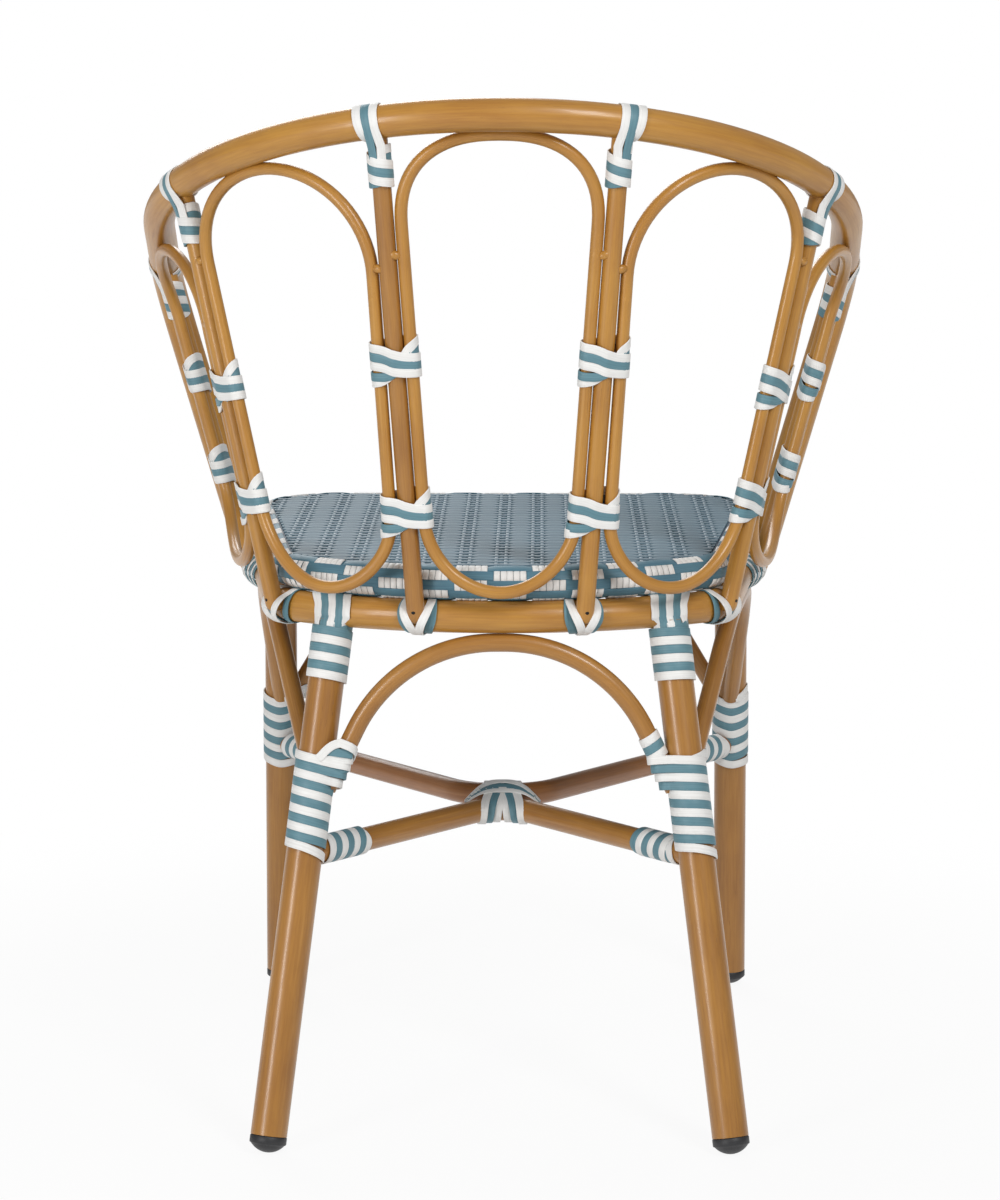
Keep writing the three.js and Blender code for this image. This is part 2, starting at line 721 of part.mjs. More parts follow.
function weaveSections() {
  const foldSteps = 4;
  const hemSteps = 3;
  const hemTurn = Math.PI * 0.56;
  const angles = [];
  for (let k = 0; k <= foldSteps; k++) angles.push(Math.PI * (0.5 - k / foldSteps));
  for (let k = 1; k <= hemSteps; k++) angles.push(-Math.PI / 2 - (hemTurn * k) / hemSteps);
  const innerRadius = WEAVE_INNER / Math.cos(Math.PI / foldSteps / 2);
  return seatPath.points.map((centre, index) => {
    const out = ringOut(seatPath, index);
    const at = (across, height) => centre.clone().addScaledVector(out, across).addScaledVector(UP, height);
    const section = [vec(0, 0, SEAT_TUBE_HEIGHT + WEAVE_OUTER), at(-WEAVE_PANEL_INSET, WEAVE_OUTER)];
    for (const angle of angles) {
      section.push(at(WEAVE_OUTER * Math.cos(angle), WEAVE_OUTER * Math.sin(angle)));
    }
    for (const angle of angles.slice().reverse()) {
      section.push(at(innerRadius * Math.cos(angle), innerRadius * Math.sin(angle)));
    }
    section.push(at(-WEAVE_PANEL_INSET, innerRadius), vec(0, 0, SEAT_TUBE_HEIGHT + innerRadius));
    return section;
  });
}

// Wound strips: one unbroken flat strip round a bundle of tubes, eight steps to a turn
function bundleSupport(members, origin, axis, across, over, angle) {
  let support = -Infinity;
  for (const level of [-1, -0.5, 0, 0.5, 1]) {
    const reachAlong = STRIP_WIDTH / 2 + STRIP_PITCH / WRAP_SIDES;
    const centre = origin.clone().addScaledVector(axis, level * reachAlong);
    for (const { route, radius } of members) {
      const hit = planeCrossing(route, centre, axis);
      if (!hit) continue;
      const offset = hit.point.sub(centre);
      const reach = offset.dot(across) * Math.cos(angle) + offset.dot(over) * Math.sin(angle);
      support = Math.max(support, reach + radius / Math.max(hit.slope, LEAST_SLOPE));
    }
  }
  return support;
}

let leastGap = Infinity;

function measureGap(rings) {
  for (let k = 0; k + WRAP_SIDES < rings.length; k++) {
    for (const corner of rings[k]) {
      for (const other of rings[k + WRAP_SIDES]) {
        leastGap = Math.min(leastGap, corner.distanceTo(other));
      }
    }
  }
}

function makeWrap(start, axis, sideways, members, turns, slack = 0) {
  const across = sideways.clone().addScaledVector(axis, -sideways.dot(axis)).normalize();
  const over = axis.clone().cross(across);
  const stepAngle = (2 * Math.PI) / WRAP_SIDES;
  const rings = [];
  for (let k = 0; k <= turns * WRAP_SIDES; k++) {
    const centre = start.clone().addScaledVector(axis, (STRIP_PITCH * k) / WRAP_SIDES);
    const [first, second] = [(k - 0.5) * stepAngle, (k + 0.5) * stepAngle];
    const supports = [first, second].map((angle) => (
      bundleSupport(members, centre, axis, across, over, angle) + FIT_GAP + slack
    ));
    const corner = (extra, level) => {
      const [s, t] = supports.map((support) => support + extra);
      const x = (s * Math.sin(second) - t * Math.sin(first)) / Math.sin(stepAngle);
      const y = (t * Math.cos(first) - s * Math.cos(second)) / Math.sin(stepAngle);
      return centre.clone().addScaledVector(across, x).addScaledVector(over, y)
        .addScaledVector(axis, level * STRIP_WIDTH);
    };
    rings.push([
      corner(0, -0.5), corner(0, 0.5), corner(STRIP_THICKNESS, 0.5), corner(STRIP_THICKNESS, -0.5),
    ]);
  }
  measureGap(rings);
  return closedGeometry(stripBody(rings));
}

function stripBody(rings) {
  const size = rings[0].length;
  const positions = rings.flat().flatMap((point) => [point.x, point.y, point.z]);
  const index = [];
  for (let r = 0; r + 1 < rings.length; r++) {
    for (let k = 0; k < size; k++) {
      const after = (k + 1) % size;
      const [a, b] = [size * r + k, size * r + after];
      const [c, d] = [b + size, a + size];
      index.push(a, b, c, a, c, d);
    }
  }
  const last = size * (rings.length - 1);
  index.push(0, 2, 1, 0, 3, 2, last, last + 1, last + 2, last, last + 2, last + 3);
  const geometry = new THREE.BufferGeometry();
  geometry.setAttribute('position', new THREE.Float32BufferAttribute(positions, 3));
  geometry.setIndex(index);
  return geometry;
}

function down(line) {
  return line.foot.clone().sub(line.top).normalize();
}

// Everything, side by side
const left = postLines;
const right = {
  rear: mirrored(postLines.rear), corner: mirrored(postLines.corner), side: mirrored(postLines.side),
};

addPart('top_rail', fromSolid(toSolid(openTube(rail, RAIL_RADIUS, TUBE_SIDES)).subtract(ringCutter)), bamboo);
addPart('seat_ring', closedGeometry(closedTube(ring, RING_RADIUS, TUBE_SIDES)), bamboo);
addPart('seat_frame', closedGeometry(closedTube(seatPath, SEAT_TUBE_RADIUS, THIN_SIDES)), metal);
addPart('seat_weave', closedGeometry(sectionLoop(weaveSections())), weave);

// The side loop keeps its shoulder below the strips that tie the side post to the rail.
const sideRailWrapEnd = left.side.top.z - RAIL_WRAP_START - SIDE_RAIL_WRAP_TURNS * STRIP_PITCH - STRIP_WIDTH / 2;
const bays = {
  loop_rear: makeBay(left.rear, right.rear, {
    bulge: REAR_LOOP_BULGE,
    setIn: REAR_LOOP_SET_IN,
    drop: crownDrop(REAR_LOOP_SET_IN),
    topHeight: REAR_LOOP_TOP_HEIGHT,
    roundness: REAR_LOOP_ROUNDNESS,
    leanShare: 0,
  }),
  loop_corner_left: makeBay(left.corner, left.rear, {
    bulge: CORNER_LOOP_BULGE,
    setIn: CORNER_LOOP_SET_IN,
    drop: crownDrop(CORNER_LOOP_SET_IN),
    topHeight: CORNER_LOOP_TOP_HEIGHT,
    roundness: CORNER_LOOP_ROUNDNESS,
    leanShare: CORNER_LEAN_SHARE,
  }),
  loop_side_left: makeBay(left.side, left.corner, {
    bulge: SIDE_LOOP_BULGE,
    setIn: 0,
    drop: SIDE_LOOP_DROP,
    shoulder: sideRailWrapEnd - SIDE_LOOP_CLEARANCE,
    roundness: SIDE_LOOP_ROUNDNESS,
    leanShare: SIDE_LEAN_SHARE,
  }),
};

const loopRoutes = {};
for (const [name, bay] of Object.entries(bays)) {
  loopRoutes[name] = loopRoute(bay);
  const loop = makeLoop(loopRoutes[name]);
  addPart(name, loop, bamboo);
  if (name === 'loop_rear') continue;
  const otherName = name.replace('left', 'right');
  loopRoutes[otherName] = new Route(loopRoutes[name].points.map(mirrorX), true);
  addPart(otherName, closedGeometry(loop.clone().scale(-1, 1, 1)), bamboo);
}

const loopsAtPost = {
  rear: { left: ['loop_rear', 'loop_corner_left'], right: ['loop_rear', 'loop_corner_right'] },
  corner: { left: ['loop_corner_left', 'loop_side_left'], right: ['loop_corner_right', 'loop_side_right'] },
  side: { left: ['loop_side_left'], right: ['loop_side_right'] },
};

for (const [hand, lines] of Object.entries({ left, right })) {
  for (const [place, line] of Object.entries(lines)) {
    const post = { route: new Route([line.foot, line.top]), radius: POST_RADIUS };
    const loops = loopsAtPost[place][hand].map((name) => ({ route: loopRoutes[name], radius: LOOP_RADIUS }));
    const fall = down(line);
    const tangent = line.side.clone().cross(UP);
    addPart(`post_${place}_${hand}`, makePost(line), bamboo);
    const railEnd = line.top.clone().addScaledVector(fall, RAIL_WRAP_START);
    const railTurns = place === 'side' ? SIDE_RAIL_WRAP_TURNS : RAIL_WRAP_TURNS;
    addPart(`wrap_rail_${place}_${hand}`, makeWrap(railEnd, fall, tangent, [post], railTurns), strip);
    for (const [level, heightShare] of Object.entries(WRAP_HEIGHT_SHARES[place])) {
      const begin = postAt(line, THREE.MathUtils.lerp(RING_HEIGHT, line.top.z, heightShare));
      const bundle = makeWrap(begin, fall, tangent, [post, ...loops], CLUSTER_WRAP_TURNS);
      addPart(`wrap_${level}_${place}_${hand}`, bundle, strip);
    }
  }
}

const rearArch = crossArchRoute(
  rearLeg, RING_BACK_Y, REAR_ARCH_CORNER_X, REAR_ARCH_BEND, REAR_MID_WRAP_HEIGHT - REAR_ARCH_COVER,
);
const frontArch = crossArchRoute(
  frontLeg, RING_FRONT_Y, FRONT_ARCH_CORNER_X, FRONT_ARCH_BEND, FRONT_MID_WRAP_HEIGHT - FRONT_ARCH_COVER,
);
const sideArch = sideArchRoute();
const sideArchMesh = makeArch(sideArch, [rearLeg, frontLeg]);
const otherSideArch = new Route(sideArch.points.map(mirrorX));
addPart('arch_rear', makeArch(rearArch, [rearLeg, mirroredLeg(rearLeg)]), bamboo);
addPart('arch_front', makeArch(frontArch, [frontLeg, mirroredLeg(frontLeg)]), bamboo);
addPart('arch_left', sideArchMesh, bamboo);
addPart('arch_right', closedGeometry(sideArchMesh.clone().scale(-1, 1, 1)), bamboo);

for (const [hand, legs] of Object.entries({
  left: { rear: rearLeg, front: frontLeg },
  right: { rear: mirroredLeg(rearLeg), front: mirroredLeg(frontLeg) },
})) {
  for (const [place, leg] of Object.entries(legs)) {
    const fall = legUp(leg).negate();
    const tube = { route: new Route([leg.foot, leg.top]), radius: LEG_RADIUS };
    const isRear = place === 'rear';
    const cross = { route: carriedOn(isRear ? rearArch : frontArch, ARCH_RADIUS), radius: ARCH_RADIUS };
    const along = { route: carriedOn(hand === 'left' ? sideArch : otherSideArch, ARCH_RADIUS), radius: ARCH_RADIUS };
    addPart(`leg_${place}_${hand}`, makeLeg(leg), isRear ? bamboo : darkBamboo);
    addPart(`foot_cap_${place}_${hand}`, makeCap(leg), rubber);
    const top = leg.top.clone().addScaledVector(fall, LEG_WRAP_START);
    addPart(`wrap_leg_top_${place}_${hand}`, makeWrap(top, fall, ALONG_X, [tube], LEG_WRAP_TURNS), strip);
    const middle = legAt(leg, isRear ? REAR_MID_WRAP_HEIGHT : FRONT_MID_WRAP_HEIGHT);
    const turns = isRear ? REAR_MID_TURNS : FRONT_MID_TURNS;
    addPart(
      `wrap_leg_mid_${place}_${hand}`, makeWrap(middle, fall, ALONG_X, [tube, cross, along], turns), strip,
    );
  }
}

addPart('stretcher_rear', makeBow(rearBow, rearLeg), bamboo);
addPart('stretcher_front', makeBow(frontBow, frontLeg), darkBamboo);
const bows = [rearBow, frontBow].map((route) => ({ route, radius: STRETCHER_RADIUS }));
const knotY = (rearApexY + crossing(frontBow, 'x', 0).point.y) / 2;
const knotStart = vec((-STRIP_PITCH * KNOT_TURNS) / 2, knotY, STRETCHER_HEIGHT + FRONT_BOW_LIFT / 2);
addPart('wrap_knot', makeWrap(knotStart, ALONG_X, UP, bows, KNOT_TURNS, KNOT_SLACK), strip);

const chair = new THREE.Group();
chair.name = 'bistro_chair';
parts.forEach((mesh) => chair.add(mesh));
const box = new THREE.Box3().setFromObject(chair);
chair.position.y = -(box.min.y + box.max.y) / 2;
console.log(`least gap of a strip to itself ${leastGap.toFixed(2)} mm`);

export default chair;
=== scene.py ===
"""Cafe armchair: the looks of bent tube in a bamboo finish, two tone wound strips and a woven seat."""

import math

import bmesh
import bpy
import numpy as np
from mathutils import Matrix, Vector


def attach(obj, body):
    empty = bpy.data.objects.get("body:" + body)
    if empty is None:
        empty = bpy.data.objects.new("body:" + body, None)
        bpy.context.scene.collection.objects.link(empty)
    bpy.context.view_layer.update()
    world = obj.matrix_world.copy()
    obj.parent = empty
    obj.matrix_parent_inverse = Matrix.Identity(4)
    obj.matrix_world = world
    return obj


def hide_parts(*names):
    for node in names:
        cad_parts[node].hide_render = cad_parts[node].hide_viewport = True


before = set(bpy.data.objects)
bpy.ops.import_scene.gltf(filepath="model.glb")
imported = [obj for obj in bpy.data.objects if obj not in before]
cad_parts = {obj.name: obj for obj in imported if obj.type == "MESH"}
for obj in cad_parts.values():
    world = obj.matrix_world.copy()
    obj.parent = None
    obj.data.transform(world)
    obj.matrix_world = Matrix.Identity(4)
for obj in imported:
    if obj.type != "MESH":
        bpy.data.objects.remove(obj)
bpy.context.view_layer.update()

# Sizes of the chair are in millimetres, with the middle of the seat ring's own drawing at y = 0
MM = 0.001
DRAWING_SHIFT = np.array((0.0, -45.509, 0.0))
UP = np.array((0, 0, 1.0))

# Camera, worked out from the photograph: place in metres, angles in degrees
CAMERA_PLACE = (-0.0313, 2.9387, 0.8713)
CAMERA_PITCH = 9.218
CAMERA_TURN = 0.658
FOCAL_PIXELS = 3583.2
PHOTO_HEIGHT = 1200
SENSOR = 36.0

# Tubes
LEG_RADIUS = 14.3
RING_RADIUS = 12.7
RAIL_RADIUS = 12.7
POST_RADIUS = 7.15
LOOP_RADIUS = 5.0
ARCH_RADIUS = 7.3
STRETCHER_RADIUS = 9.5
SEAT_TUBE_RADIUS = 9.6
FIT_GAP = 0.3
BEND_STEP = math.pi / 70

# Seat ring and top rail
RING_HEIGHT = 410.3
RING_CORNERS = ((86.5, 226.2), (177.0, 164.0), (224.5, -210.6))
RING_BENDS = (260.0, 55.0, 65.0)
RAIL_FOOT_OUT = 11.8
RAIL_FOOT_Y = -104.0
RAIL_FOOT_RISE = 5.0
RAIL_CORNERS = ((0.0, 301.4, 800.8), (266.1, 301.4, 800.8), (287.8, -85.0, 647.5))
RAIL_BENDS = (0.0, 279.9, 70.0, 0.0)

# Posts: the place on the ring and on the rail, by x or by y
POST_PLACES = {"rear": (0, 62.0, 91.7), "corner": (0, 168.0, 250.7), "side": (1, -35.0, -30.0)}
POST_STANDOFF = 15.0
POST_TIP_DROP = 4.0

# Loops between the posts
HIP_HEIGHT = RING_HEIGHT + 80.0
LOOP_FOOT_HEIGHT = 57.0
LOOP_CROWN_REACH = RAIL_RADIUS + FIT_GAP + LOOP_RADIUS

# Legs
REAR_LEG_TOP_X = 131.0
REAR_FOOT = (181.2, 302.5, 0.0)
FRONT_LEG_TOP = (201.7, -190.0, RING_HEIGHT)
FRONT_FOOT = (204.4, -203.0, 0.0)
REAR_MID_HEIGHT = RING_HEIGHT - 120.3
FRONT_MID_HEIGHT = RING_HEIGHT - 133.3
LEG_TOP_DROP = 8.5
CAP_SKIRT = 6.5
CAP_DOME = 6.5
CAP_DOME_RADIUS = 13.2
ARCH_BEND = 122.0
ARCH_TIP_DEPTH = 3.0
ARCH_TIP_DROP = 8.0
REAR_ARCH_TIP_DROP = 16.0
SIDE_ARCH_REAR_TIP_DROP = 7.0
REAR_ARCH_CORNER_X = 80.4
FRONT_ARCH_CORNER_X = 118.0
SIDE_ARCH_CORNER_Y = 96.0

# Stretchers: bowed tubes that touch in the middle
STRETCHER_SLEEVE_GAP = 2.0
REAR_BOW_CORNER_Y = 62.0
REAR_BOW_BEND = 30.0
FRONT_BOW_BEND = 50.0
FRONT_BOW_LIFT = 10.0

# Woven seat
WEAVE_OUTER = SEAT_TUBE_RADIUS + FIT_GAP + 3.1
SEAT_HEIGHT = RING_HEIGHT + RING_RADIUS + FIT_GAP + WEAVE_OUTER

# Wound strips
STRIP_WIDTH = 6.85
STRIP_THICKNESS = 1.1
TURN_PITCH = 6.9
UNDER = 0.75
OVER = 1.75
WHITE, TEAL = 0.0, 1.0

# The plain sleeves of the frame's own model, which set the places of loops and stretchers
SLEEVE_PITCH = 7.3
SLEEVE_HALF = 3.35
NECK_SLEEVE_DROP = 21.0
SIDE_SHOULDER_GAP = 5.5
REAR_SLEEVE_TURNS = 7


def tint(code):
    """A linear colour from the six signs of a web colour."""
    parts = [int(code[k:k + 2], 16) / 255 for k in (0, 2, 4)]
    return tuple(((p + 0.055) / 1.055) ** 2.4 if p > 0.04045 else p / 12.92 for p in parts)


def shown(name, data):
    """An object of the scene that holds a mesh, a camera or a lamp."""
    holder = bpy.data.objects.new(name, data)
    bpy.context.scene.collection.objects.link(holder)
    return holder


# Routes of the tubes


def unit(v):
    v = np.asarray(v, float)
    return v / np.linalg.norm(v)


def mirror(points):
    return np.asarray(points, float) * (-1, 1, 1)


def on_hand(line, hand):
    """A line of the left side as it is, or its mirror image for the right side."""
    return line if hand == "left" else mirror(line)


def bent(corners, bends, closed=False):
    """Straight stretches between the corners, with a round bend at each one."""
    corners = [np.array(c, float) for c in corners]
    points = []
    for i, corner in enumerate(corners):
        if not closed and i in (0, len(corners) - 1):
            points.append(corner)
            continue
        before = corners[i - 1] - corner
        after = corners[(i + 1) % len(corners)] - corner
        room = min(np.linalg.norm(before), np.linalg.norm(after))
        before, after = unit(before), unit(after)
        half = math.acos(float(before @ after)) / 2
        radius = min(bends[i], room * math.tan(half))
        centre = corner + unit(before + after) * radius / math.sin(half)
        start = corner + before * radius / math.tan(half) - centre
        end = corner + after * radius / math.tan(half) - centre
        turn = math.pi - 2 * half
        steps = max(4, math.ceil(turn / BEND_STEP))
        for k in range(steps + 1):
            share = k / steps
            arm = math.sin((1 - share) * turn) * start + math.sin(share * turn) * end
            points.append(centre + arm / math.sin(turn))
    kept = [points[0]]
    for point in points[1:]:
        if np.linalg.norm(point - kept[-1]) > 0.01:
            kept.append(point)
    return np.array(kept)


def filled(points, step, closed=False):
    """The same line with no stretch longer than the step."""
    out = []
    for k in range(len(points) - (0 if closed else 1)):
        a, b = points[k], points[(k + 1) % len(points)]
        count = max(1, math.ceil(np.linalg.norm(b - a) / step))
        out += [a + (b - a) * j / count for j in range(count)]
    if not closed:
        out.append(points[-1])
    return np.array(out)


def crossing(points, axis, value):
    """Where a line first passes a value of x, y or z, and its direction there."""
    for a, b in zip(points[:-1], points[1:]):
        low, high = a[axis] - value, b[axis] - value
        if low * high <= 0 and low != high:
            return a + (b - a) * low / (low - high), unit(b - a)
    raise ValueError(f"nothing at {axis} {value}")


def at_ring(points):
    return [(x, y, RING_HEIGHT) for x, y in points]


def ring_route(corners, bends, height):
    half = [(x, y, height) for x, y in corners]
    others = [(-x, y, z) for x, y, z in reversed(half)]
    # The line starts in the middle of the front, so its seam lies away from the back
    return bent(others[-1:] + half + others[:-1], (bends[0], *bends, *bends[:0:-1]), True)


ring_half = bent(
    [(0, RING_CORNERS[0][1], RING_HEIGHT), *at_ring(RING_CORNERS), (0, RING_CORNERS[2][1], RING_HEIGHT)],
    (0, *RING_BENDS, 0),
)
ring_path = ring_route(RING_CORNERS, RING_BENDS, RING_HEIGHT)
rail_seat = crossing(ring_half, 1, RAIL_FOOT_Y)[0]
rail_foot = (rail_seat[0] + RAIL_FOOT_OUT, RAIL_FOOT_Y, RING_HEIGHT + RAIL_FOOT_RISE)
rail_half = bent((*RAIL_CORNERS, rail_foot), RAIL_BENDS)
rail_path = np.vstack((mirror(rail_half[:0:-1]), rail_half[1:]))


class Post:
    """A post's foot and top, and the way out of the chair at its foot."""

    def __init__(self, foot, top, side):
        self.foot, self.top, self.side = foot, top, side
        self.fall = unit(foot - top)
        self.line = np.array((foot, top))

    def at(self, height):
        share = (height - self.foot[2]) / (self.top[2] - self.foot[2])
        return self.foot + (self.top - self.foot) * share

    def other(self):
        return Post(mirror(self.foot), mirror(self.top), mirror(self.side))


def make_post_line(axis, on_ring, on_rail):
    seat, along = crossing(ring_half, axis, on_ring)
    side = unit((-along[1], along[0], 0))
    side = side if side @ seat > 0 else -side
    return Post(seat + side * POST_STANDOFF, crossing(rail_half, axis, on_rail)[0], side)


posts = {"left": {name: make_post_line(*place) for name, place in POST_PLACES.items()}}
posts["right"] = {name: post.other() for name, post in posts["left"].items()}


class Bay:
    """The curved surface between two posts, on which a loop lies.

    At the ring it stands out from the straight line between the posts by the bulge, and at the rail as
    far as the rail does, less what it is set in. The loop's crown lies under the rail by the drop, and
    its shoulder lies lower by the top height or has a height of its own. The lean share is how much of
    the slope between the posts' tops the crown follows."""

    def __init__(self, first, last, bulge, set_in, roundness, lean_share=0, drop=None, top_height=None,
                 shoulder=None):
        middle = (first.top + last.top) / 2
        normal = unit((last.top - first.top) * (1, 1, 0))
        sides = (rail_half - middle) @ normal
        k = next(k for k, (a, b) in enumerate(zip(sides[:-1], sides[1:])) if a * b <= 0 and a != b)
        top = rail_half[k] + (rail_half[k + 1] - rail_half[k]) * sides[k] / (sides[k] - sides[k + 1])
        self.first, self.last, self.bulge, self.roundness = first, last, bulge, roundness
        self.top = top
        self.top_bulge = np.hypot(*(top - middle)[:2]) - set_in
        self.crown = top[2] - (math.sqrt(LOOP_CROWN_REACH ** 2 - set_in ** 2) if drop is None else drop)
        self.shoulder = shoulder if shoulder is not None else self.crown - top_height
        self.lean = (last.top[2] - first.top[2]) * lean_share

    def place(self, height, across, lift):
        a, b = self.first.at(height), self.last.at(height)
        share = 0.5 + across * (0.5 - (POST_RADIUS + LOOP_RADIUS + FIT_GAP) / np.linalg.norm(b - a))
        chord = b - a
        out = unit((-chord[1], chord[0], 0))
        out = out if out @ (a + b) > 0 else -out
        rise = (height - RING_HEIGHT) / (self.top[2] - RING_HEIGHT)
        depth = self.bulge + (self.top_bulge - self.bulge) * rise
        point = a + chord * share + out * 4 * depth * share * (1 - share)
        point[2] += self.lean * (share - 0.5) * lift
        return point

    def route(self, arc=40, straight=10):
        def swing(angle, power):
            c = math.cos(angle)
            return math.copysign(abs(c) ** (2 / power), c), abs(math.sin(angle)) ** (2 / power)

        points = []
        for k in range(arc + 1):
            across, rise = swing(math.pi * k / arc, self.roundness)
            points.append(self.place(self.shoulder + (self.crown - self.shoulder) * rise, across, rise))
        for k in range(1, straight):
            points.append(self.place(self.shoulder + (HIP_HEIGHT - self.shoulder) * k / straight, -1, 0))
        for k in range(arc + 1):
            across, fall = swing(math.pi * k / arc, 2)
            points.append(self.place(HIP_HEIGHT - LOOP_FOOT_HEIGHT * fall, -across, 0))
        for k in range(1, straight):
            points.append(self.place(HIP_HEIGHT + (self.shoulder - HIP_HEIGHT) * k / straight, 1, 0))
        return np.array(points)


left_posts = posts["left"]
side_neck_bottom = left_posts["side"].top[2] - NECK_SLEEVE_DROP - 2 * SLEEVE_PITCH - SLEEVE_HALF
side_shoulder = side_neck_bottom - SIDE_SHOULDER_GAP
rear_bay = Bay(
    left_posts["rear"], posts["right"]["rear"],
    bulge=13, set_in=10.5, roundness=2.35, top_height=70,
)
corner_bay = Bay(
    left_posts["corner"], left_posts["rear"],
    bulge=20, set_in=5, roundness=1.95, lean_share=0.3, top_height=79,
)
side_bay = Bay(
    left_posts["side"], left_posts["corner"],
    bulge=13, set_in=0, roundness=2.1, lean_share=0.35, drop=22, shoulder=side_shoulder,
)
loops = {
    "loop_rear": rear_bay.route(),
    "loop_corner_left": corner_bay.route(),
    "loop_side_left": side_bay.route(),
}
for key in ("loop_corner", "loop_side"):
    loops[f"{key}_right"] = mirror(loops[f"{key}_left"])


class Leg:
    """A leg, from its foot on the floor to its top at the height of the seat ring."""

    def __init__(self, top, foot):
        self.top, self.foot = np.array(top, float), np.array(foot, float)
        self.up = unit(self.top - self.foot)
        self.line = np.array((self.foot, self.top))

    def at(self, height):
        return self.foot + (self.top - self.foot) * height / RING_HEIGHT

    def other(self):
        return Leg(mirror(self.top), mirror(self.foot))

    def side_tip(self, height, toward):
        axis = self.at(height)
        away = (np.asarray(toward, float) - axis) * (1, 1, 0)
        return axis + unit(away) * (LEG_RADIUS - ARCH_TIP_DEPTH)


rear_leg = Leg((REAR_LEG_TOP_X, crossing(ring_half, 0, REAR_LEG_TOP_X)[0][1], RING_HEIGHT), REAR_FOOT)
front_leg = Leg(FRONT_LEG_TOP, FRONT_FOOT)
legs = {"left": {"rear": rear_leg, "front": front_leg}}
legs["right"] = {name: leg.other() for name, leg in legs["left"].items()}

ARCH_HEIGHT = RING_HEIGHT - RING_RADIUS - FIT_GAP - ARCH_RADIUS


def cross_arch(leg, middle_y, corner_x, tip_height):
    tip = leg.side_tip(tip_height, (0, leg.at(tip_height)[1], 0))
    corner = (corner_x, middle_y, ARCH_HEIGHT)
    return bent((mirror(tip), mirror(corner), corner, tip), (0, ARCH_BEND, ARCH_BEND, 0))


def side_arch():
    back = crossing(ring_half, 1, SIDE_ARCH_CORNER_Y)[0] * (1, 1, 0) + (0, 0, ARCH_HEIGHT)
    front = crossing(ring_half, 1, -SIDE_ARCH_CORNER_Y)[0] * (1, 1, 0) + (0, 0, ARCH_HEIGHT)
    rear_tip = rear_leg.side_tip(REAR_MID_HEIGHT - SIDE_ARCH_REAR_TIP_DROP, front)
    front_tip = front_leg.side_tip(FRONT_MID_HEIGHT - ARCH_TIP_DROP, back)
    return bent((rear_tip, back, front, front_tip), (0, ARCH_BEND, ARCH_BEND, 0))


rear_tip_height = REAR_MID_HEIGHT - REAR_ARCH_TIP_DROP
front_tip_height = FRONT_MID_HEIGHT - ARCH_TIP_DROP
arches = {
    "arch_rear": cross_arch(rear_leg, RING_CORNERS[0][1], REAR_ARCH_CORNER_X, rear_tip_height),
    "arch_front": cross_arch(front_leg, RING_CORNERS[2][1], FRONT_ARCH_CORNER_X, front_tip_height),
    "arch_left": side_arch(),
}
arches["arch_right"] = mirror(arches["arch_left"])

REAR_SLEEVE_BOTTOM = REAR_MID_HEIGHT - REAR_SLEEVE_TURNS * SLEEVE_PITCH - SLEEVE_HALF
STRETCHER_HEIGHT = REAR_SLEEVE_BOTTOM - STRETCHER_SLEEVE_GAP - STRETCHER_RADIUS


def bow(leg, corner_y, corner_z, bend):
    seat = leg.at(STRETCHER_HEIGHT)
    return bent((seat, (0, corner_y, corner_z), mirror(seat)), (0, bend, 0))


rear_bow = bow(rear_leg, REAR_BOW_CORNER_Y, STRETCHER_HEIGHT, REAR_BOW_BEND)
rear_apex_y = crossing(rear_bow, 0, 0.0)[0][1]
front_apex_y = rear_apex_y - math.sqrt((2 * STRETCHER_RADIUS + FIT_GAP) ** 2 - FRONT_BOW_LIFT ** 2)
# The corner is moved step by step until the rounded bow touches the rear one
front_corner_y = front_apex_y
for _ in range(20):
    front_bow = bow(front_leg, front_corner_y, STRETCHER_HEIGHT + FRONT_BOW_LIFT, FRONT_BOW_BEND)
    front_corner_y += front_apex_y - crossing(front_bow, 0, 0.0)[0][1]


# Materials


class Value:
    """A node socket that takes part in Python sums, each of which adds a Math node."""

    def __init__(self, tree, socket):
        self.tree = tree
        self.socket = socket

    def _math(self, operation, first, second=None):
        node = self.tree.nodes.new("ShaderNodeMath")
        node.operation = operation
        for slot, item in zip(node.inputs, (first, second)):
            if isinstance(item, Value):
                self.tree.links.new(item.socket, slot)
            elif item is not None:
                slot.default_value = item
        return Value(self.tree, node.outputs[0])

    def __add__(self, other):
        return self._math("ADD", self, other)

    def __radd__(self, other):
        return self._math("ADD", other, self)

    def __sub__(self, other):
        return self._math("SUBTRACT", self, other)

    def __rsub__(self, other):
        return self._math("SUBTRACT", other, self)

    def __mul__(self, other):
        return self._math("MULTIPLY", self, other)

    def __rmul__(self, other):
        return self._math("MULTIPLY", other, self)


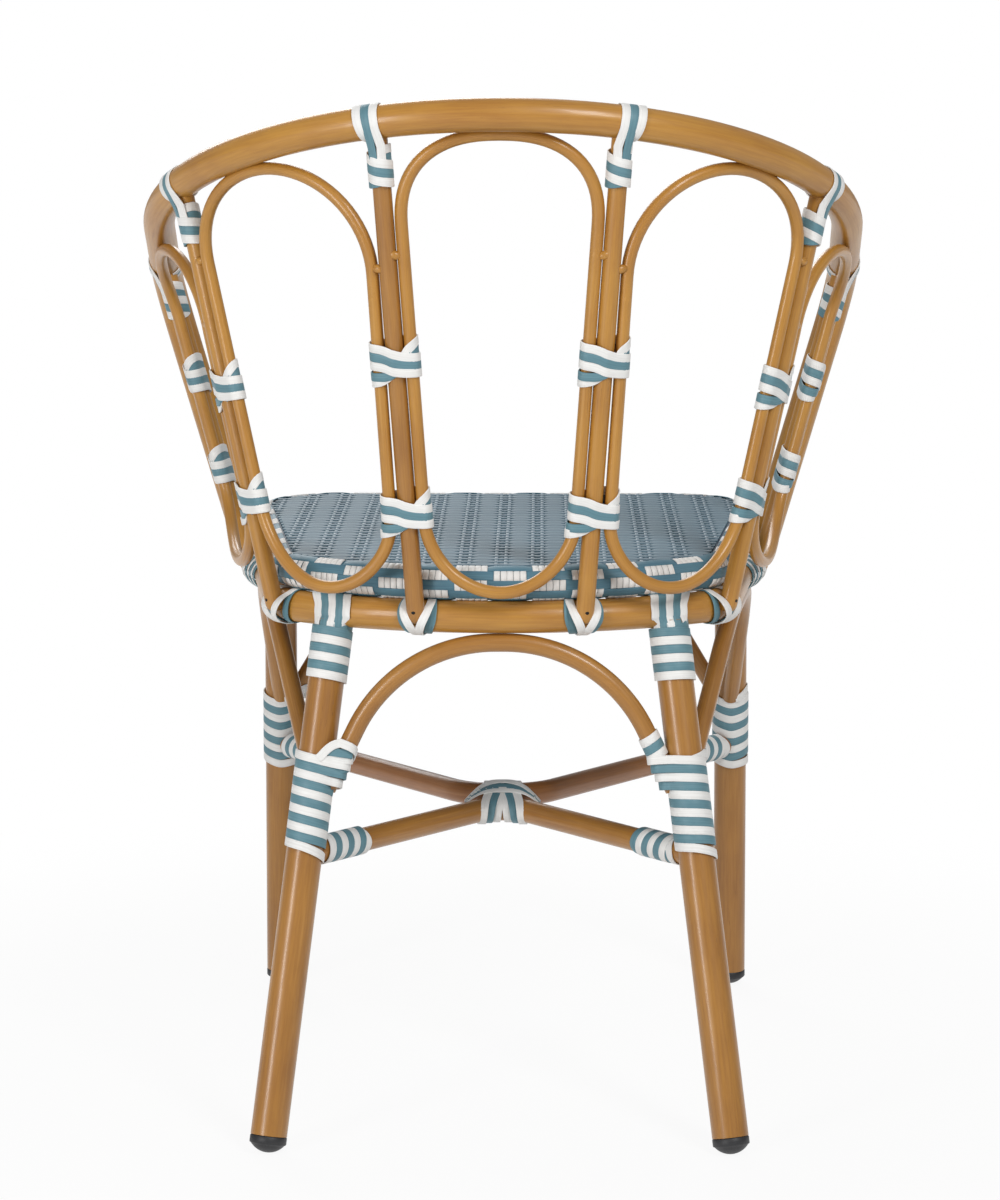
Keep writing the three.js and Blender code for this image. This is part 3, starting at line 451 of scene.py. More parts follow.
class Finish:
    """A material being made: its tree, its shader and one method that adds a node."""

    def __init__(self, name):
        self.material = bpy.data.materials.new(name)
        self.material.use_nodes = True
        self.tree = self.material.node_tree
        self.shader = self.tree.nodes["Principled BSDF"]

    def node(self, kind, settings=None, sockets=None, output=0):
        made = self.tree.nodes.new(kind)
        for key, setting in (settings or {}).items():
            setattr(made, key, setting)
        for key, item in (sockets or {}).items():
            self.feed(made.inputs[key], item)
        return Value(self.tree, made.outputs[output])

    def feed(self, socket, item):
        if isinstance(item, Value):
            self.tree.links.new(item.socket, socket)
        else:
            socket.default_value = item

    def put(self, name, item):
        self.feed(self.shader.inputs[name], item)

    def attribute(self, name, output="Fac"):
        return self.node("ShaderNodeAttribute", {"attribute_name": name}, output=output)

    def place(self):
        return self.node("ShaderNodeTexCoord", output="Object")

    def scaled(self, vector, factor):
        return self.node("ShaderNodeVectorMath", {"operation": "SCALE"}, {0: vector, "Scale": factor})

    def noise(self, where, scale, detail=3.0, rough=0.5):
        sockets = {"Vector": where, "Scale": scale, "Detail": detail, "Roughness": rough}
        return self.node("ShaderNodeTexNoise", sockets=sockets)

    def added(self, first, second):
        return self.node("ShaderNodeVectorMath", {"operation": "ADD"}, {0: first, 1: second})

    def between(self, value, low, high):
        """0 below the low mark, 1 above the high one, and smooth between them."""
        return self.node(
            "ShaderNodeMapRange", {"interpolation_type": "SMOOTHSTEP"}, {0: value, 1: low, 2: high}
        )

    def mix(self, share, first, second):
        first, second = (item if isinstance(item, Value) else (*item, 1.0) for item in (first, second))
        sockets = {"Factor": share, 6: first, 7: second}
        return self.node("ShaderNodeMix", {"data_type": "RGBA"}, sockets, output=2)

    def bump(self, height, distance, strength=1.0):
        self.put("Normal", self.node(
            "ShaderNodeBump", sockets={"Height": height, "Distance": distance, "Strength": strength}
        ))


def tube_finish(name, base, deep, pale, rough):
    """Lacquered bamboo look on metal tube: lengthwise grain, clouds and a few fine dark checks."""
    finish = Finish(name)
    around = finish.attribute("round", "Vector")
    along = finish.attribute("along")
    place = finish.place()

    def stretched(across, lengthwise):
        rise = finish.node("ShaderNodeCombineXYZ", sockets={"Z": along * lengthwise})
        return finish.added(finish.scaled(around, across), rise)

    grain = finish.noise(stretched(7.0, 30.0), 1.0, 4.0, 0.6)
    streaks = finish.noise(stretched(2.2, 9.0), 1.0, 2.0)
    clouds = finish.noise(place, 14.0, 3.0)
    checks = finish.noise(stretched(16.0, 60.0), 1.0, 2.0, 0.7)
    checks = finish.between(checks, 0.67, 0.74) * finish.between(clouds, 0.5, 0.62)
    worn = finish.between(clouds, 0.35, 0.7)
    colour = finish.mix(finish.between(grain, 0.34, 0.66) * 0.28 + worn * 0.3, base, deep)
    colour = finish.mix(finish.between(streaks, 0.56, 0.78) * 0.3, colour, pale)
    colour = finish.mix(checks * 0.6, colour, tuple(c * 0.35 for c in deep))
    finish.put("Base Color", colour)
    finish.put("Roughness", rough + grain * 0.12)
    finish.put("Coat Weight", 0.28 - checks * 0.2)
    finish.put("Coat Roughness", 0.16)
    finish.put("Specular IOR Level", 0.45)
    finish.bump(grain * 0.5 - checks * 0.6, 0.0003, 0.5)
    return finish.material


def strip_finish(name, base, deep, rough):
    """Smooth flat plastic cane with faint darker ribs along it and a little dirt in clouds."""
    finish = Finish(name)
    along = finish.attribute("along")
    side = finish.attribute("round", "Vector")
    rise = finish.node("ShaderNodeCombineXYZ", sockets={"Z": along * 25.0})
    lines = finish.noise(finish.added(finish.scaled(side, 1400.0), rise), 1.0, 2.0)
    clouds = finish.noise(finish.place(), 45.0, 3.0)
    finish.put("Base Color", finish.mix(finish.between(lines, 0.3, 0.8) * 0.5 + clouds * 0.4, base, deep))
    finish.put("Roughness", rough + lines * 0.15)
    finish.put("Specular IOR Level", 0.4)
    finish.bump(lines, 0.0002, 0.5)
    return finish.material


def cloudy_finish(name, colour, deep, rough, metal=0.0, scale=60.0, relief=0.0001):
    """A plain surface with faint clouds, for rubber, steel and the shell under the weave."""
    finish = Finish(name)
    cloud = finish.noise(finish.place(), scale, 4.0)
    finish.put("Base Color", finish.mix(finish.between(cloud, 0.3, 0.7), colour, deep))
    finish.put("Roughness", cloud * 0.16 + (rough - 0.08))
    finish.put("Metallic", metal)
    finish.bump(finish.noise(finish.place(), scale * 12, 3.0), relief, 0.6)
    return finish.material


bamboo = tube_finish("rail_bamboo", tint("BC8838"), tint("965F26"), tint("D09E56"), 0.34)
leg_bamboo = tube_finish("leg_bamboo", tint("AC7936"), tint("835325"), tint("C39254"), 0.30)
# A darker copy of the leg finish: painted shade for the front stretcher, which lies in shadow
painted_shade_bamboo = tube_finish("painted_shade_bamboo", tint("9C6634"), tint("744722"), tint("B07F4A"), 0.34)
white_strip = strip_finish("white_strip", tint("F0F0EE"), tint("DAD8D4"), 0.46)
teal_strip = strip_finish("teal_strip", tint("6A919C"), tint("4E7480"), 0.42)
seat_strip = strip_finish("seat_strip", tint("708B98"), tint("587283"), 0.46)
seat_row = strip_finish("seat_row", tint("5C8796"), tint("40647A"), 0.42)
# A darker copy of the seat's blue, painted shade on every other weft
seat_strip_painted_shade = strip_finish("seat_strip_painted_shade", tint("637E8C"), tint("4B6475"), 0.46)
# The warps' lighter blue is painted glint on real strips
seat_rib_painted_glint = strip_finish("seat_rib_painted_glint", tint("96A8B3"), tint("73899A"), 0.42)
seat_shade = cloudy_finish("seat_shade", tint("4E6678"), tint("34485A"), 0.6)
cap_rubber = cloudy_finish("cap_rubber", tint("2C2C2E"), tint("202022"), 0.5)
seat_steel = cloudy_finish("seat_steel", tint("90908E"), tint("6E6E6C"), 0.42, 0.8)
screw_dark = cloudy_finish("screw_dark", tint("1A1714"), tint("0E0C0A"), 0.5, 0.4, 300.0)


# Node trees


class Tree:
    """A Geometry Nodes tree being made, whose inputs have names and are set by identifier."""

    def __init__(self, name, inputs):
        self.group = bpy.data.node_groups.new(name, "GeometryNodeTree")
        sockets = self.group.interface
        sockets.new_socket("Geometry", in_out="INPUT", socket_type="NodeSocketGeometry")
        sockets.new_socket("Geometry", in_out="OUTPUT", socket_type="NodeSocketGeometry")
        self.keys = {
            title: sockets.new_socket(title, in_out="INPUT", socket_type=f"NodeSocket{kind}").identifier
            for title, kind in inputs.items()
        }
        self.start = self.group.nodes.new("NodeGroupInput")

    def given(self, title):
        return self.start.outputs[title]

    def node(self, kind, settings=None, sockets=None, output=0):
        made = self.group.nodes.new(kind)
        for key, setting in (settings or {}).items():
            setattr(made, key, setting)
        for key, item in (sockets or {}).items():
            if isinstance(item, bpy.types.NodeSocket):
                self.group.links.new(item, made.inputs[key])
            else:
                made.inputs[key].default_value = item
        return made.outputs[output]

    def named(self, name, kind):
        return self.node("GeometryNodeInputNamedAttribute", {"data_type": kind}, {"Name": name})

    def close(self, geometry):
        end = self.group.nodes.new("NodeGroupOutput")
        whole = self.node("GeometryNodeRealizeInstances", sockets={0: geometry})
        self.group.links.new(whole, end.inputs[0])


def sweep(tree, curve, profile, scale):
    """Carries a profile along a curve and keeps both lines' measures for the finish."""
    length = tree.node("GeometryNodeSplineParameter", output="Length")
    curve = tree.node(
        "GeometryNodeStoreNamedAttribute", {"data_type": "FLOAT", "domain": "POINT"},
        {"Geometry": curve, "Name": "along", "Value": length},
    )
    position = tree.node("GeometryNodeInputPosition")
    profile = tree.node(
        "GeometryNodeStoreNamedAttribute", {"data_type": "FLOAT_VECTOR", "domain": "POINT"},
        {"Geometry": profile, "Name": "round", "Value": position},
    )
    mesh = tree.node(
        "GeometryNodeCurveToMesh",
        sockets={"Curve": curve, "Profile Curve": profile, "Scale": scale, "Fill Caps": True},
    )
    return tree.node("GeometryNodeSetShadeSmooth", sockets={"Geometry": mesh})


def make_tube_tree():
    tree = Tree("bent tube", {"Sides": "Int", "Finish": "Material"})
    curve = tree.node("GeometryNodeMeshToCurve", sockets={"Mesh": tree.given("Geometry")})
    circle = tree.node(
        "GeometryNodeCurvePrimitiveCircle", sockets={"Resolution": tree.given("Sides"), "Radius": 1.0}
    )
    mesh = sweep(tree, curve, circle, tree.named("reach", "FLOAT"))
    tree.close(tree.node(
        "GeometryNodeSetMaterial", sockets={"Geometry": mesh, "Material": tree.given("Finish")}
    ))
    return tree


def make_strip_tree():
    inputs = {"Width": "Float", "Thickness": "Float", "Edge": "Float", "Edge Steps": "Int",
              "First Finish": "Material", "Second Finish": "Material"}
    tree = Tree("wound strip", inputs)
    curve = tree.node("GeometryNodeMeshToCurve", sockets={"Mesh": tree.given("Geometry")})
    curve = tree.node(
        "GeometryNodeSetCurveNormal", {"mode": "FREE"},
        {"Curve": curve, "Normal": tree.named("outward", "FLOAT_VECTOR")},
    )
    flat = tree.node(
        "GeometryNodeCurvePrimitiveQuadrilateral",
        sockets={"Width": tree.given("Thickness"), "Height": tree.given("Width")},
    )
    rounding = {"Radius": tree.given("Edge"), "Count": tree.given("Edge Steps"), "Limit Radius": True}
    flat = tree.node("GeometryNodeFilletCurve", {"mode": "POLY"}, {"Curve": flat, **rounding})
    mesh = sweep(tree, curve, flat, 1.0)
    first = tree.node(
        "GeometryNodeSetMaterial", sockets={"Geometry": mesh, "Material": tree.given("First Finish")}
    )
    is_second = tree.node(
        "FunctionNodeCompare", {"data_type": "FLOAT", "operation": "GREATER_THAN"},
        {"A": tree.named("tone", "FLOAT"), "B": 0.5},
    )
    tree.close(tree.node(
        "GeometryNodeSetMaterial",
        sockets={"Geometry": first, "Selection": is_second, "Material": tree.given("Second Finish")},
    ))
    return tree


tube_tree = make_tube_tree()
strip_tree = make_strip_tree()


def lines_mesh(name, lines, attributes):
    """One mesh of edges along several lines, each (points, closed), with values at the points."""
    points = np.vstack([line for line, _ in lines])
    edges = []
    first = 0
    for line, closed in lines:
        count = len(line)
        edges += [(first + k, first + k + 1) for k in range(count - 1)]
        if closed:
            edges.append((first + count - 1, first))
        first += count
    mesh = bpy.data.meshes.new(name)
    mesh.from_pydata(((points + DRAWING_SHIFT) * MM).tolist(), edges, [])
    for key, values in attributes.items():
        values = np.asarray(values, float)
        flat = values.ndim == 1
        layer = mesh.attributes.new(key, "FLOAT" if flat else "FLOAT_VECTOR", "POINT")
        layer.data.foreach_set("value" if flat else "vector", values.ravel())
    return mesh


def baked(name, mesh, tree, settings):
    """A finished piece: the tree's result as a plain mesh, with no modifier left."""
    holder = shown(name, mesh)
    modifier = holder.modifiers.new("make", "NODES")
    modifier.node_group = tree.group
    for title, setting in settings.items():
        modifier[tree.keys[title]] = setting
    bpy.context.view_layer.update()
    done = bpy.data.meshes.new_from_object(holder.evaluated_get(bpy.context.evaluated_depsgraph_get()))
    holder.modifiers.remove(modifier)
    holder.data = done
    done.name = name
    return holder


def settle(piece, nodes=()):
    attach(piece, "root")
    if nodes:
        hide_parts(*nodes)


def tube(name, points, reach, material, nodes=(), closed=False, sides=28):
    reach = np.broadcast_to(np.asarray(reach, float) * MM, len(points))
    mesh = lines_mesh(name, [(points, closed)], {"reach": reach})
    piece = baked(name, mesh, tube_tree, {"Sides": sides, "Finish": material})
    settle(piece, nodes)
    return piece


def strips(name, runs, nodes=(), width=STRIP_WIDTH, thickness=STRIP_THICKNESS, edge=0.5, edge_steps=2,
           finishes=(white_strip, teal_strip)):
    """A piece of several flat strips. A run is (points, outward directions, tone, closed)."""
    lines = [(points, closed) for points, _, _, closed in runs]
    outward = np.vstack([normals for _, normals, _, _ in runs])
    tones = np.concatenate([np.full(len(points), tone) for points, _, tone, _ in runs])
    mesh = lines_mesh(name, lines, {"outward": outward, "tone": tones})
    piece = baked(name, mesh, strip_tree, {
        "Width": width * MM, "Thickness": thickness * MM, "Edge": edge * MM, "Edge Steps": edge_steps,
        "First Finish": finishes[0], "Second Finish": finishes[1],
    })
    settle(piece, nodes)
    return piece


# Tubes and foot caps


TUBE_STEP = 12.0
STRAIGHT_STEP = 15.0
# A rounded end starts this far off its pole, in radians, so that its last ring is a small cap
POLE_ANGLE = 0.03
# The weight of the chair flattens a cap by this
CAP_FLAT = 0.5
CAP_SPHERE = (CAP_DOME_RADIUS ** 2 + CAP_DOME ** 2) / (2 * CAP_DOME)


def rounded_start(points, radius):
    """Adds a half round to the start of a straight tube, as points and radii."""
    inward = unit(points[1] - points[0])
    angles = np.linspace(POLE_ANGLE, math.pi / 2, 9)
    extra = np.array([points[0] + inward * radius * (1 - math.cos(t)) for t in angles])
    reach = [radius * math.sin(t) for t in angles]
    return np.vstack((extra, points[1:])), np.array(reach + [radius] * (len(points) - 1))


def make_bent_tubes():
    tube("rail_tube", filled(rail_path, TUBE_STEP), RAIL_RADIUS, bamboo, ["top_rail"], sides=40)
    route = filled(ring_path, TUBE_STEP, True)
    tube("ring_tube", route, RING_RADIUS, bamboo, ["seat_ring"], closed=True, sides=40)
    for name, route in loops.items():
        tube(name + "_tube", route, LOOP_RADIUS, bamboo, [name], closed=True, sides=22)
    for name, route in arches.items():
        tube(name + "_tube", filled(route, TUBE_STEP), ARCH_RADIUS, leg_bamboo, [name], sides=24)
    # The front stretcher takes the darker copy of the leg finish, as painted shade for the shadow it lies
    # in
    for name, route, finish in (("rear", rear_bow, leg_bamboo), ("front", front_bow, painted_shade_bamboo)):
        route = filled(route, TUBE_STEP)
        tube(f"stretcher_{name}_tube", route, STRETCHER_RADIUS, finish, [f"stretcher_{name}"], sides=28)


def make_post(name, hand, post):
    line = filled(np.array((post.at(RING_HEIGHT - POST_TIP_DROP), post.top)), STRAIGHT_STEP)
    line, reach = rounded_start(line, POST_RADIUS)
    # One post takes the darker leg finish as painted shade, for the shade among the loops that it stands
    # in
    finish = leg_bamboo if (name, hand) == ("rear", "left") else bamboo
    tube(f"post_{name}_{hand}_tube", line, reach, finish, [f"post_{name}_{hand}"], sides=26)


def make_foot_cap(name, hand, centre, up):
    """A rubber cap: part of a sphere below, a rounded skirt above, and no lower than the floor."""
    steps = 9
    levels, reach = [], []
    for k in range(steps + 1):
        angle = POLE_ANGLE + (math.asin(CAP_DOME_RADIUS / CAP_SPHERE) - POLE_ANGLE) * k / steps
        levels.append(-CAP_SPHERE * math.cos(angle))
        reach.append(CAP_SPHERE * math.sin(angle))
    skirt = CAP_DOME - CAP_SPHERE
    levels += [skirt + 0.4, skirt + 1.0, skirt + CAP_SKIRT - 0.7, skirt + CAP_SKIRT]
    reach += [LEG_RADIUS - 0.25, LEG_RADIUS + 0.15, LEG_RADIUS + 0.15, LEG_RADIUS - 0.4]
    line = np.array([centre + up * level for level in levels])
    dome = tube(f"foot_cap_{name}_{hand}_dome", line, reach, cap_rubber, [f"foot_cap_{name}_{hand}"],
                sides=36)
    for vertex in dome.data.vertices:
        vertex.co.z = max(vertex.co.z, 0.0)


def make_leg(name, hand, leg):
    centre = leg.at(CAP_SPHERE - CAP_FLAT)
    lower = centre + leg.up * (CAP_DOME - CAP_SPHERE + CAP_SKIRT + FIT_GAP)
    line = filled(np.array((lower, leg.at(RING_HEIGHT - LEG_TOP_DROP))), STRAIGHT_STEP)
    tube(f"leg_{name}_{hand}_tube", line, LEG_RADIUS, leg_bamboo, [f"leg_{name}_{hand}"], sides=40)
    make_foot_cap(name, hand, centre, leg.up)


make_bent_tubes()
for hand in ("left", "right"):
    for name, post in posts[hand].items():
        make_post(name, hand, post)
for hand in ("left", "right"):
    for name, leg in legs[hand].items():
        make_leg(name, hand, leg)


# Wound strips


class Bundle:
    """The skin round a bundle of tubes, by height along its axis and by angle round it.

    Its members are the line and the radius of each tube. Angle 0 faces out of the chair, and 90 is to
    the right for someone who looks at it from there. Angles are measured round the first tube, or
    round the middle of the whole outline where the bundle isn't steady."""

    SAMPLES = np.linspace(0, 2 * math.pi, 121)[:-1]
    # A tube further from the axis than this isn't in the bundle
    FARTHEST = 60
    # A tube that runs flatter than this along the axis is cut as if it ran so
    FLATTEST = 0.45

    def __init__(self, origin, up, out, members, steady=True):
        self.origin, self.up, self.steady = np.asarray(origin, float), unit(up), steady
        self.out = unit(out - self.up * (np.asarray(out) @ self.up))
        self.right = np.cross(self.up, self.out)
        self.members = members
        self.kept = {}

    def section(self, height):
        """The outline at a height, worked out once for each half millimetre."""
        key = round(height * 2)
        if key in self.kept:
            return self.kept[key]
        centre = self.origin + self.up * key / 2
        circles = []
        for line, radius in self.members:
            side = (line - centre) @ self.up
            best = None
            for k in np.nonzero(side[:-1] * side[1:] <= 0)[0]:
                if side[k] == side[k + 1]:
                    continue
                point = line[k] + (line[k + 1] - line[k]) * side[k] / (side[k] - side[k + 1])
                away = np.linalg.norm(point - centre)
                if best is None or away < best[0]:
                    best = (away, point - centre, unit(line[k + 1] - line[k]))
            if best and best[0] < self.FARTHEST:
                _, offset, run = best
                slant = np.array((run @ self.out, run @ self.right))
                long = radius / max(abs(run @ self.up), self.FLATTEST)
                slant = slant / max(np.hypot(*slant), 1e-9)
                circles.append(((offset @ self.out, offset @ self.right), slant, long, radius))
        normals = np.column_stack((np.cos(self.SAMPLES), np.sin(self.SAMPLES)))
        reaches, rims = [], []
        for middle, slant, long, short in circles:
            # An oval: the cut through a tube that leans away from the bundle's axis
            lap = (normals @ slant)[:, None]
            rim = slant * lap * (long ** 2 - short ** 2) + normals * short ** 2
            size = np.sum(rim * normals, axis=1) ** 0.5
            rims.append(middle + rim / size[:, None])
            reaches.append(normals @ np.array(middle) + size)
        pick = np.argmax(reaches, axis=0)
        hull = np.array(rims)[pick, np.arange(len(normals))]
        middle = np.array(circles[0][0]) if self.steady else (hull.max(0) + hull.min(0)) / 2
        angles = np.unwrap(np.arctan2(hull[:, 1] - middle[1], hull[:, 0] - middle[0]))
        self.kept[key] = (hull, normals, middle, angles)
        return self.kept[key]

    def skin(self, height, angle):
        hull, normals, middle, angles = self.section(height)
        turn = math.radians(angle)
        turn = angles[0] + (turn - angles[0]) % (2 * math.pi)
        k = min(int(np.searchsorted(angles, turn, side="right")) - 1, len(angles) - 1)
        j = (k + 1) % len(angles)
        a, b = hull[k] - middle, hull[j] - middle
        ray = np.array((math.cos(turn), math.sin(turn)))
        edge = b - a
        bottom = ray[0] * edge[1] - ray[1] * edge[0]
        share = 0.0
        if abs(bottom) >= 1e-9:
            share = float(np.clip(-(ray[0] * a[1] - ray[1] * a[0]) / bottom, 0, 1))
        return middle + a + edge * share, unit(normals[k] + (normals[j] - normals[k]) * share)

    def run(self, marks, tone, closed=False, step=5.0):
        """A strip through marks of (angle, height, lift above the skin)."""
        marks = np.array(marks, float)
        count = max(3, int(abs(marks[-1, 0] - marks[0, 0]) / step))
        angles = np.linspace(marks[0, 0], marks[-1, 0], count)
        forward = marks if marks[-1, 0] > marks[0, 0] else marks[::-1]
        values = np.column_stack([soft_line(angles, forward[:, 0], forward[:, k]) for k in (1, 2)])
        points, normals = [], []
        for angle, (height, lift) in zip(angles, values):
            # The strip lies on the highest part of the skin that is under its width
            below = [self.skin(height + d, angle) for d in (-STRIP_WIDTH / 3, 0, STRIP_WIDTH / 3)]
            outs = [flat @ normal for flat, normal in below]
            point, normal = self.spot(height, angle, lift + max(outs) - outs[1])
            points.append(point)
            normals.append(normal)
        if closed:
            points, normals = points[:-1], normals[:-1]
        return np.array(points), np.array(normals), tone, closed

    def spot(self, height, angle, lift):
        flat, normal = self.skin(height, angle)
        flat = flat + normal * lift
        place = self.origin + self.up * height + self.out * flat[0] + self.right * flat[1]
        return place, self.out * normal[0] + self.right * normal[1]


def soft_line(where, marks, values, spread=12.0):
    """Straight lines between the marks, rounded where they meet."""
    return sum(np.interp(where + d * spread, marks, values) for d in (-1, -0.5, 0, 0.5, 1)) / 5


# An arm: angle round the bundle, and how far below the first whole turn
STEEP_ARM = ((34, -15.5), (50, -11.5), (72, -4.4), (90, 0.0))
FLAT_ARM = ((12, -0.5), (90, 0.0))
LOW_ARM = ((12, -5.5), (55, -2.5), (90, 0.0))
# The parts of an arm above this drop are raised to meet the turns
ARM_TURN = -9
# A tail: how far round past the last whole turn, how far up again, and the lift
TAIL = ((45, 1.2, UNDER), (105, 4.0, UNDER))
CLUSTER_TAILS = (
    ((18, 1.2, UNDER - 0.3), (50, 5.5, UNDER - 0.7), (80, 9.5, UNDER - 0.8)),
    ((45, 0.3, OVER - 0.5), (90, 3.2, UNDER + 0.3), (125, 8.0, UNDER)),
)
NECK_TAILS = (TAIL, ((45, 0.4, UNDER + 0.4), (105, 2.5, UNDER), (150, 4.0, UNDER)))


def pair_wrap(bundle, top, half_turns, first=WHITE, arm=STEEP_ARM, rise=5.1, tails=(TAIL, TAIL), dip=1.4,
              slip=(0.0, 0.0), tilt=0.0, gather=0.0):
    """Two strips side by side, wound down a bundle, each with its own number of half turns. Both
    start with an arm at the right that goes under the first turn, and end with a tail that tucks in
    under the last one. The top is the height of the first strip at the left edge, where its first
    whole turn begins. The dip is how far a turn sags in front, the slip is how far each strip's last
    turn ends below its place, the tilt lifts the right side and lowers the left one, and the gather
    draws the first turn down at the right."""
    runs = []
    for k, (tone, halves, tail) in enumerate(zip((first, 1 - first), half_turns, tails)):
        level = top - TURN_PITCH * k
        marks = []
        for angle, drop in arm:
            marks.append((angle, level + (rise if drop > ARM_TURN else 0) + drop, UNDER - 0.3 * k))
        marks += [(180, level + 1.5, UNDER + 0.3), (270, level, OVER - 0.3)]
        for half in range(1, halves):
            in_front = half % 2 == 1
            middle = level - TURN_PITCH * (half - 0.5) - (dip if in_front else 0)
            marks.append((180 + 180 * half, middle, OVER if in_front else OVER - 0.5))
            extra = slip[k] if half == halves - 1 else 0
            extra += gather * (1 - 0.5 * k) if half == 1 else 0
            marks.append((270 + 180 * half, level - TURN_PITCH * half - extra, OVER - 0.3))
        last, low, _ = marks[-1]
        marks += [(last + turn, low + back, lift) for turn, back, lift in tail]
        tilted = [(a, height + tilt * math.sin(math.radians(a)), lift) for a, height, lift in marks]
        runs.append(bundle.run(tilted, tone))
    return runs


# The top of each wrap is measured along its bundle, from the place that the bundle starts at
NECK_WRAP = dict(top=-25.5, half_turns=(4, 3), arm=FLAT_ARM, rise=6.1, dip=0.3, tails=NECK_TAILS)
CLUSTER_WRAP = dict(top=-2.5, half_turns=(5, 3), tails=CLUSTER_TAILS, slip=(1.5, 2.6), gather=2.0)
LEG_TOP_WRAP = dict(top=-14.5, half_turns=(6, 6), first=TEAL, arm=LOW_ARM, rise=1.0, dip=0.2, tilt=2.0)
REAR_LEG_WRAP = dict(top=9.5, half_turns=(12, 10), arm=LOW_ARM, rise=0.5, dip=0.3, slip=(4.0, 0.0))
FRONT_LEG_WRAP = dict(
    top=-4.0, half_turns=(10, 8), arm=LOW_ARM, rise=0.5, dip=6.5, slip=(3.0, 0.0), tilt=3.3
)
STRETCHER_WRAP = dict(top=23.5, half_turns=(7, 6), arm=LOW_ARM, rise=1.0, dip=0.5)
STRETCHER_WRAP_PLACE = 45.0


def loops_beside(name, hand):
    """The names of the loops that lie against a post."""
    return {
        "rear": ("loop_rear", f"loop_corner_{hand}"),
        "corner": (f"loop_corner_{hand}", f"loop_side_{hand}"),
        "side": (f"loop_side_{hand}",),
    }[name]


# Where the upper and the lower cluster sit, as shares of the post's height
WRAP_SHARES = {"rear": (0.566, 0.259), "corner": (0.566, 0.299), "side": (0.684, 0.386)}
# The ends of the rail's straps lie under the neck's turns and make it thicker by this
NECK_LAYER = 0.6


class Joint:
    """A place on a curved tube: along it, round it from its top over its outer side."""

    def __init__(self, centre, along, out, radius):
        self.centre, self.along = np.asarray(centre, float), unit(along)
        self.up = unit(UP - self.along * self.along[2])
        self.out = np.cross(self.along, self.up)
        if self.out @ out < 0:
            self.out = -self.out
        self.radius = radius

    def at(self, along, angle, lift):
        turn = math.radians(angle)
        normal = self.up * math.cos(turn) + self.out * math.sin(turn)
        return self.centre + self.along * along + normal * (self.radius + lift), normal

    def run(self, marks, tone, extra=()):
        """A strap through marks of (angle, place along the tube, lift). One that goes all the way
        round is closed, and extra stations carry any other on past its end."""
        angles = [mark[0] for mark in marks]
        closed = angles[-1] - angles[0] >= 360
        where = np.linspace(angles[0], angles[-1], max(5, int((angles[-1] - angles[0]) / 6)))
        where = where[:-1] if closed else where
        along, lift = (soft_line(where, angles, [mark[k] for mark in marks]) for k in (1, 2))
        stations = [self.at(*station) for station in zip(along, where, lift)] + list(extra)
        points, normals = np.array([s[0] for s in stations]), np.array([s[1] for s in stations])
        return points, normals, tone, closed


# Places along the rail, positive away from the chair's middle: on top, in front, on the neck
RAIL_STRAPS = ((13.6, 10.6, None, WHITE), (6.6, 3.8, 2.2, TEAL), (-0.3, -2.2, -3.4, WHITE))
# The crossing straps at the foot of a post: angle round the ring, place along it, lift
BASE_WHITE = (
    (-180, 0, OVER), (-90, 4, UNDER), (-30, 8, UNDER), (0, 9.2, UNDER), (40, 10.2, 1.4), (75, 9.6, 6.9),
    (92, 6.6, 8.8), (110, 3.4, 7.5), (135, 1.3, 4.3), (165, 0.3, 1.9), (180, 0, OVER),
)
BASE_TEAL = (
    (-180, 5, UNDER), (0, 9.5, UNDER), (60, 12.6, UNDER), (95, 12.2, UNDER), (130, 8.8, UNDER),
    (180, 5, UNDER),
)
# How far below the rail's centre a strap passes on a post's neck, and its lift there
NECK_STATIONS = ((17, 2.6), (20.5, 1.9), (24, 1.5), (30, 0.9))


def fan(marks, way):
    return [(angle, along * way, lift) for angle, along, lift in marks]


def side_turns(base):
    """Turns round the ring behind the foot of a side post, that grow smaller away from it."""
    runs = []
    for k in range(6):
        along, bulge = -(19.4 + TURN_PITCH * k), UNDER + 7.5 - 1.4 * k
        marks = [(-180, along, UNDER), (0, along, UNDER), (50, along, bulge * 0.6), (90, along, bulge),
                 (130, along, bulge * 0.6), (180, along, UNDER)]
        runs.append(base.run(marks, (k % 2) * 1.0))
    return runs


def rail_straps(joint, neck):
    """Three straps over the rail beside a post, two of which run down on to its neck."""
    side = 1 if joint.along @ neck.right > 0 else -1
    runs = []
    for high, front, low, tone in RAIL_STRAPS:
        if low is None:
            marks = [(-180, 6.8, UNDER), (0, high, UNDER), (90, front, UNDER), (180, 6.8, UNDER)]
            runs.append(joint.run(marks, tone))
            continue
        turn = math.degrees(math.asin(low / (POST_RADIUS + UNDER))) * side
        extra = [neck.spot(-drop, turn, lift) for drop, lift in NECK_STATIONS]
        marks = [(-150, high, UNDER), (0, high, UNDER), (90, front, UNDER), (112, front, UNDER)]
        runs.append(joint.run(marks, tone, extra))
    return runs


def wrap_post_top(name, hand, post, rail_line, place):
    """The straps over the rail, outboard of the post, and the neck that is wound below it."""
    top, along = crossing(rail_line, *place)
    neck = Bundle(top, -post.fall, post.side, [(post.line, POST_RADIUS + NECK_LAYER)])
    runs = rail_straps(Joint(top, along, post.side, RAIL_RADIUS), neck)
    runs += pair_wrap(neck, **NECK_WRAP)
    strips(f"strips_rail_{name}_{hand}", runs, [f"wrap_rail_{name}_{hand}"])


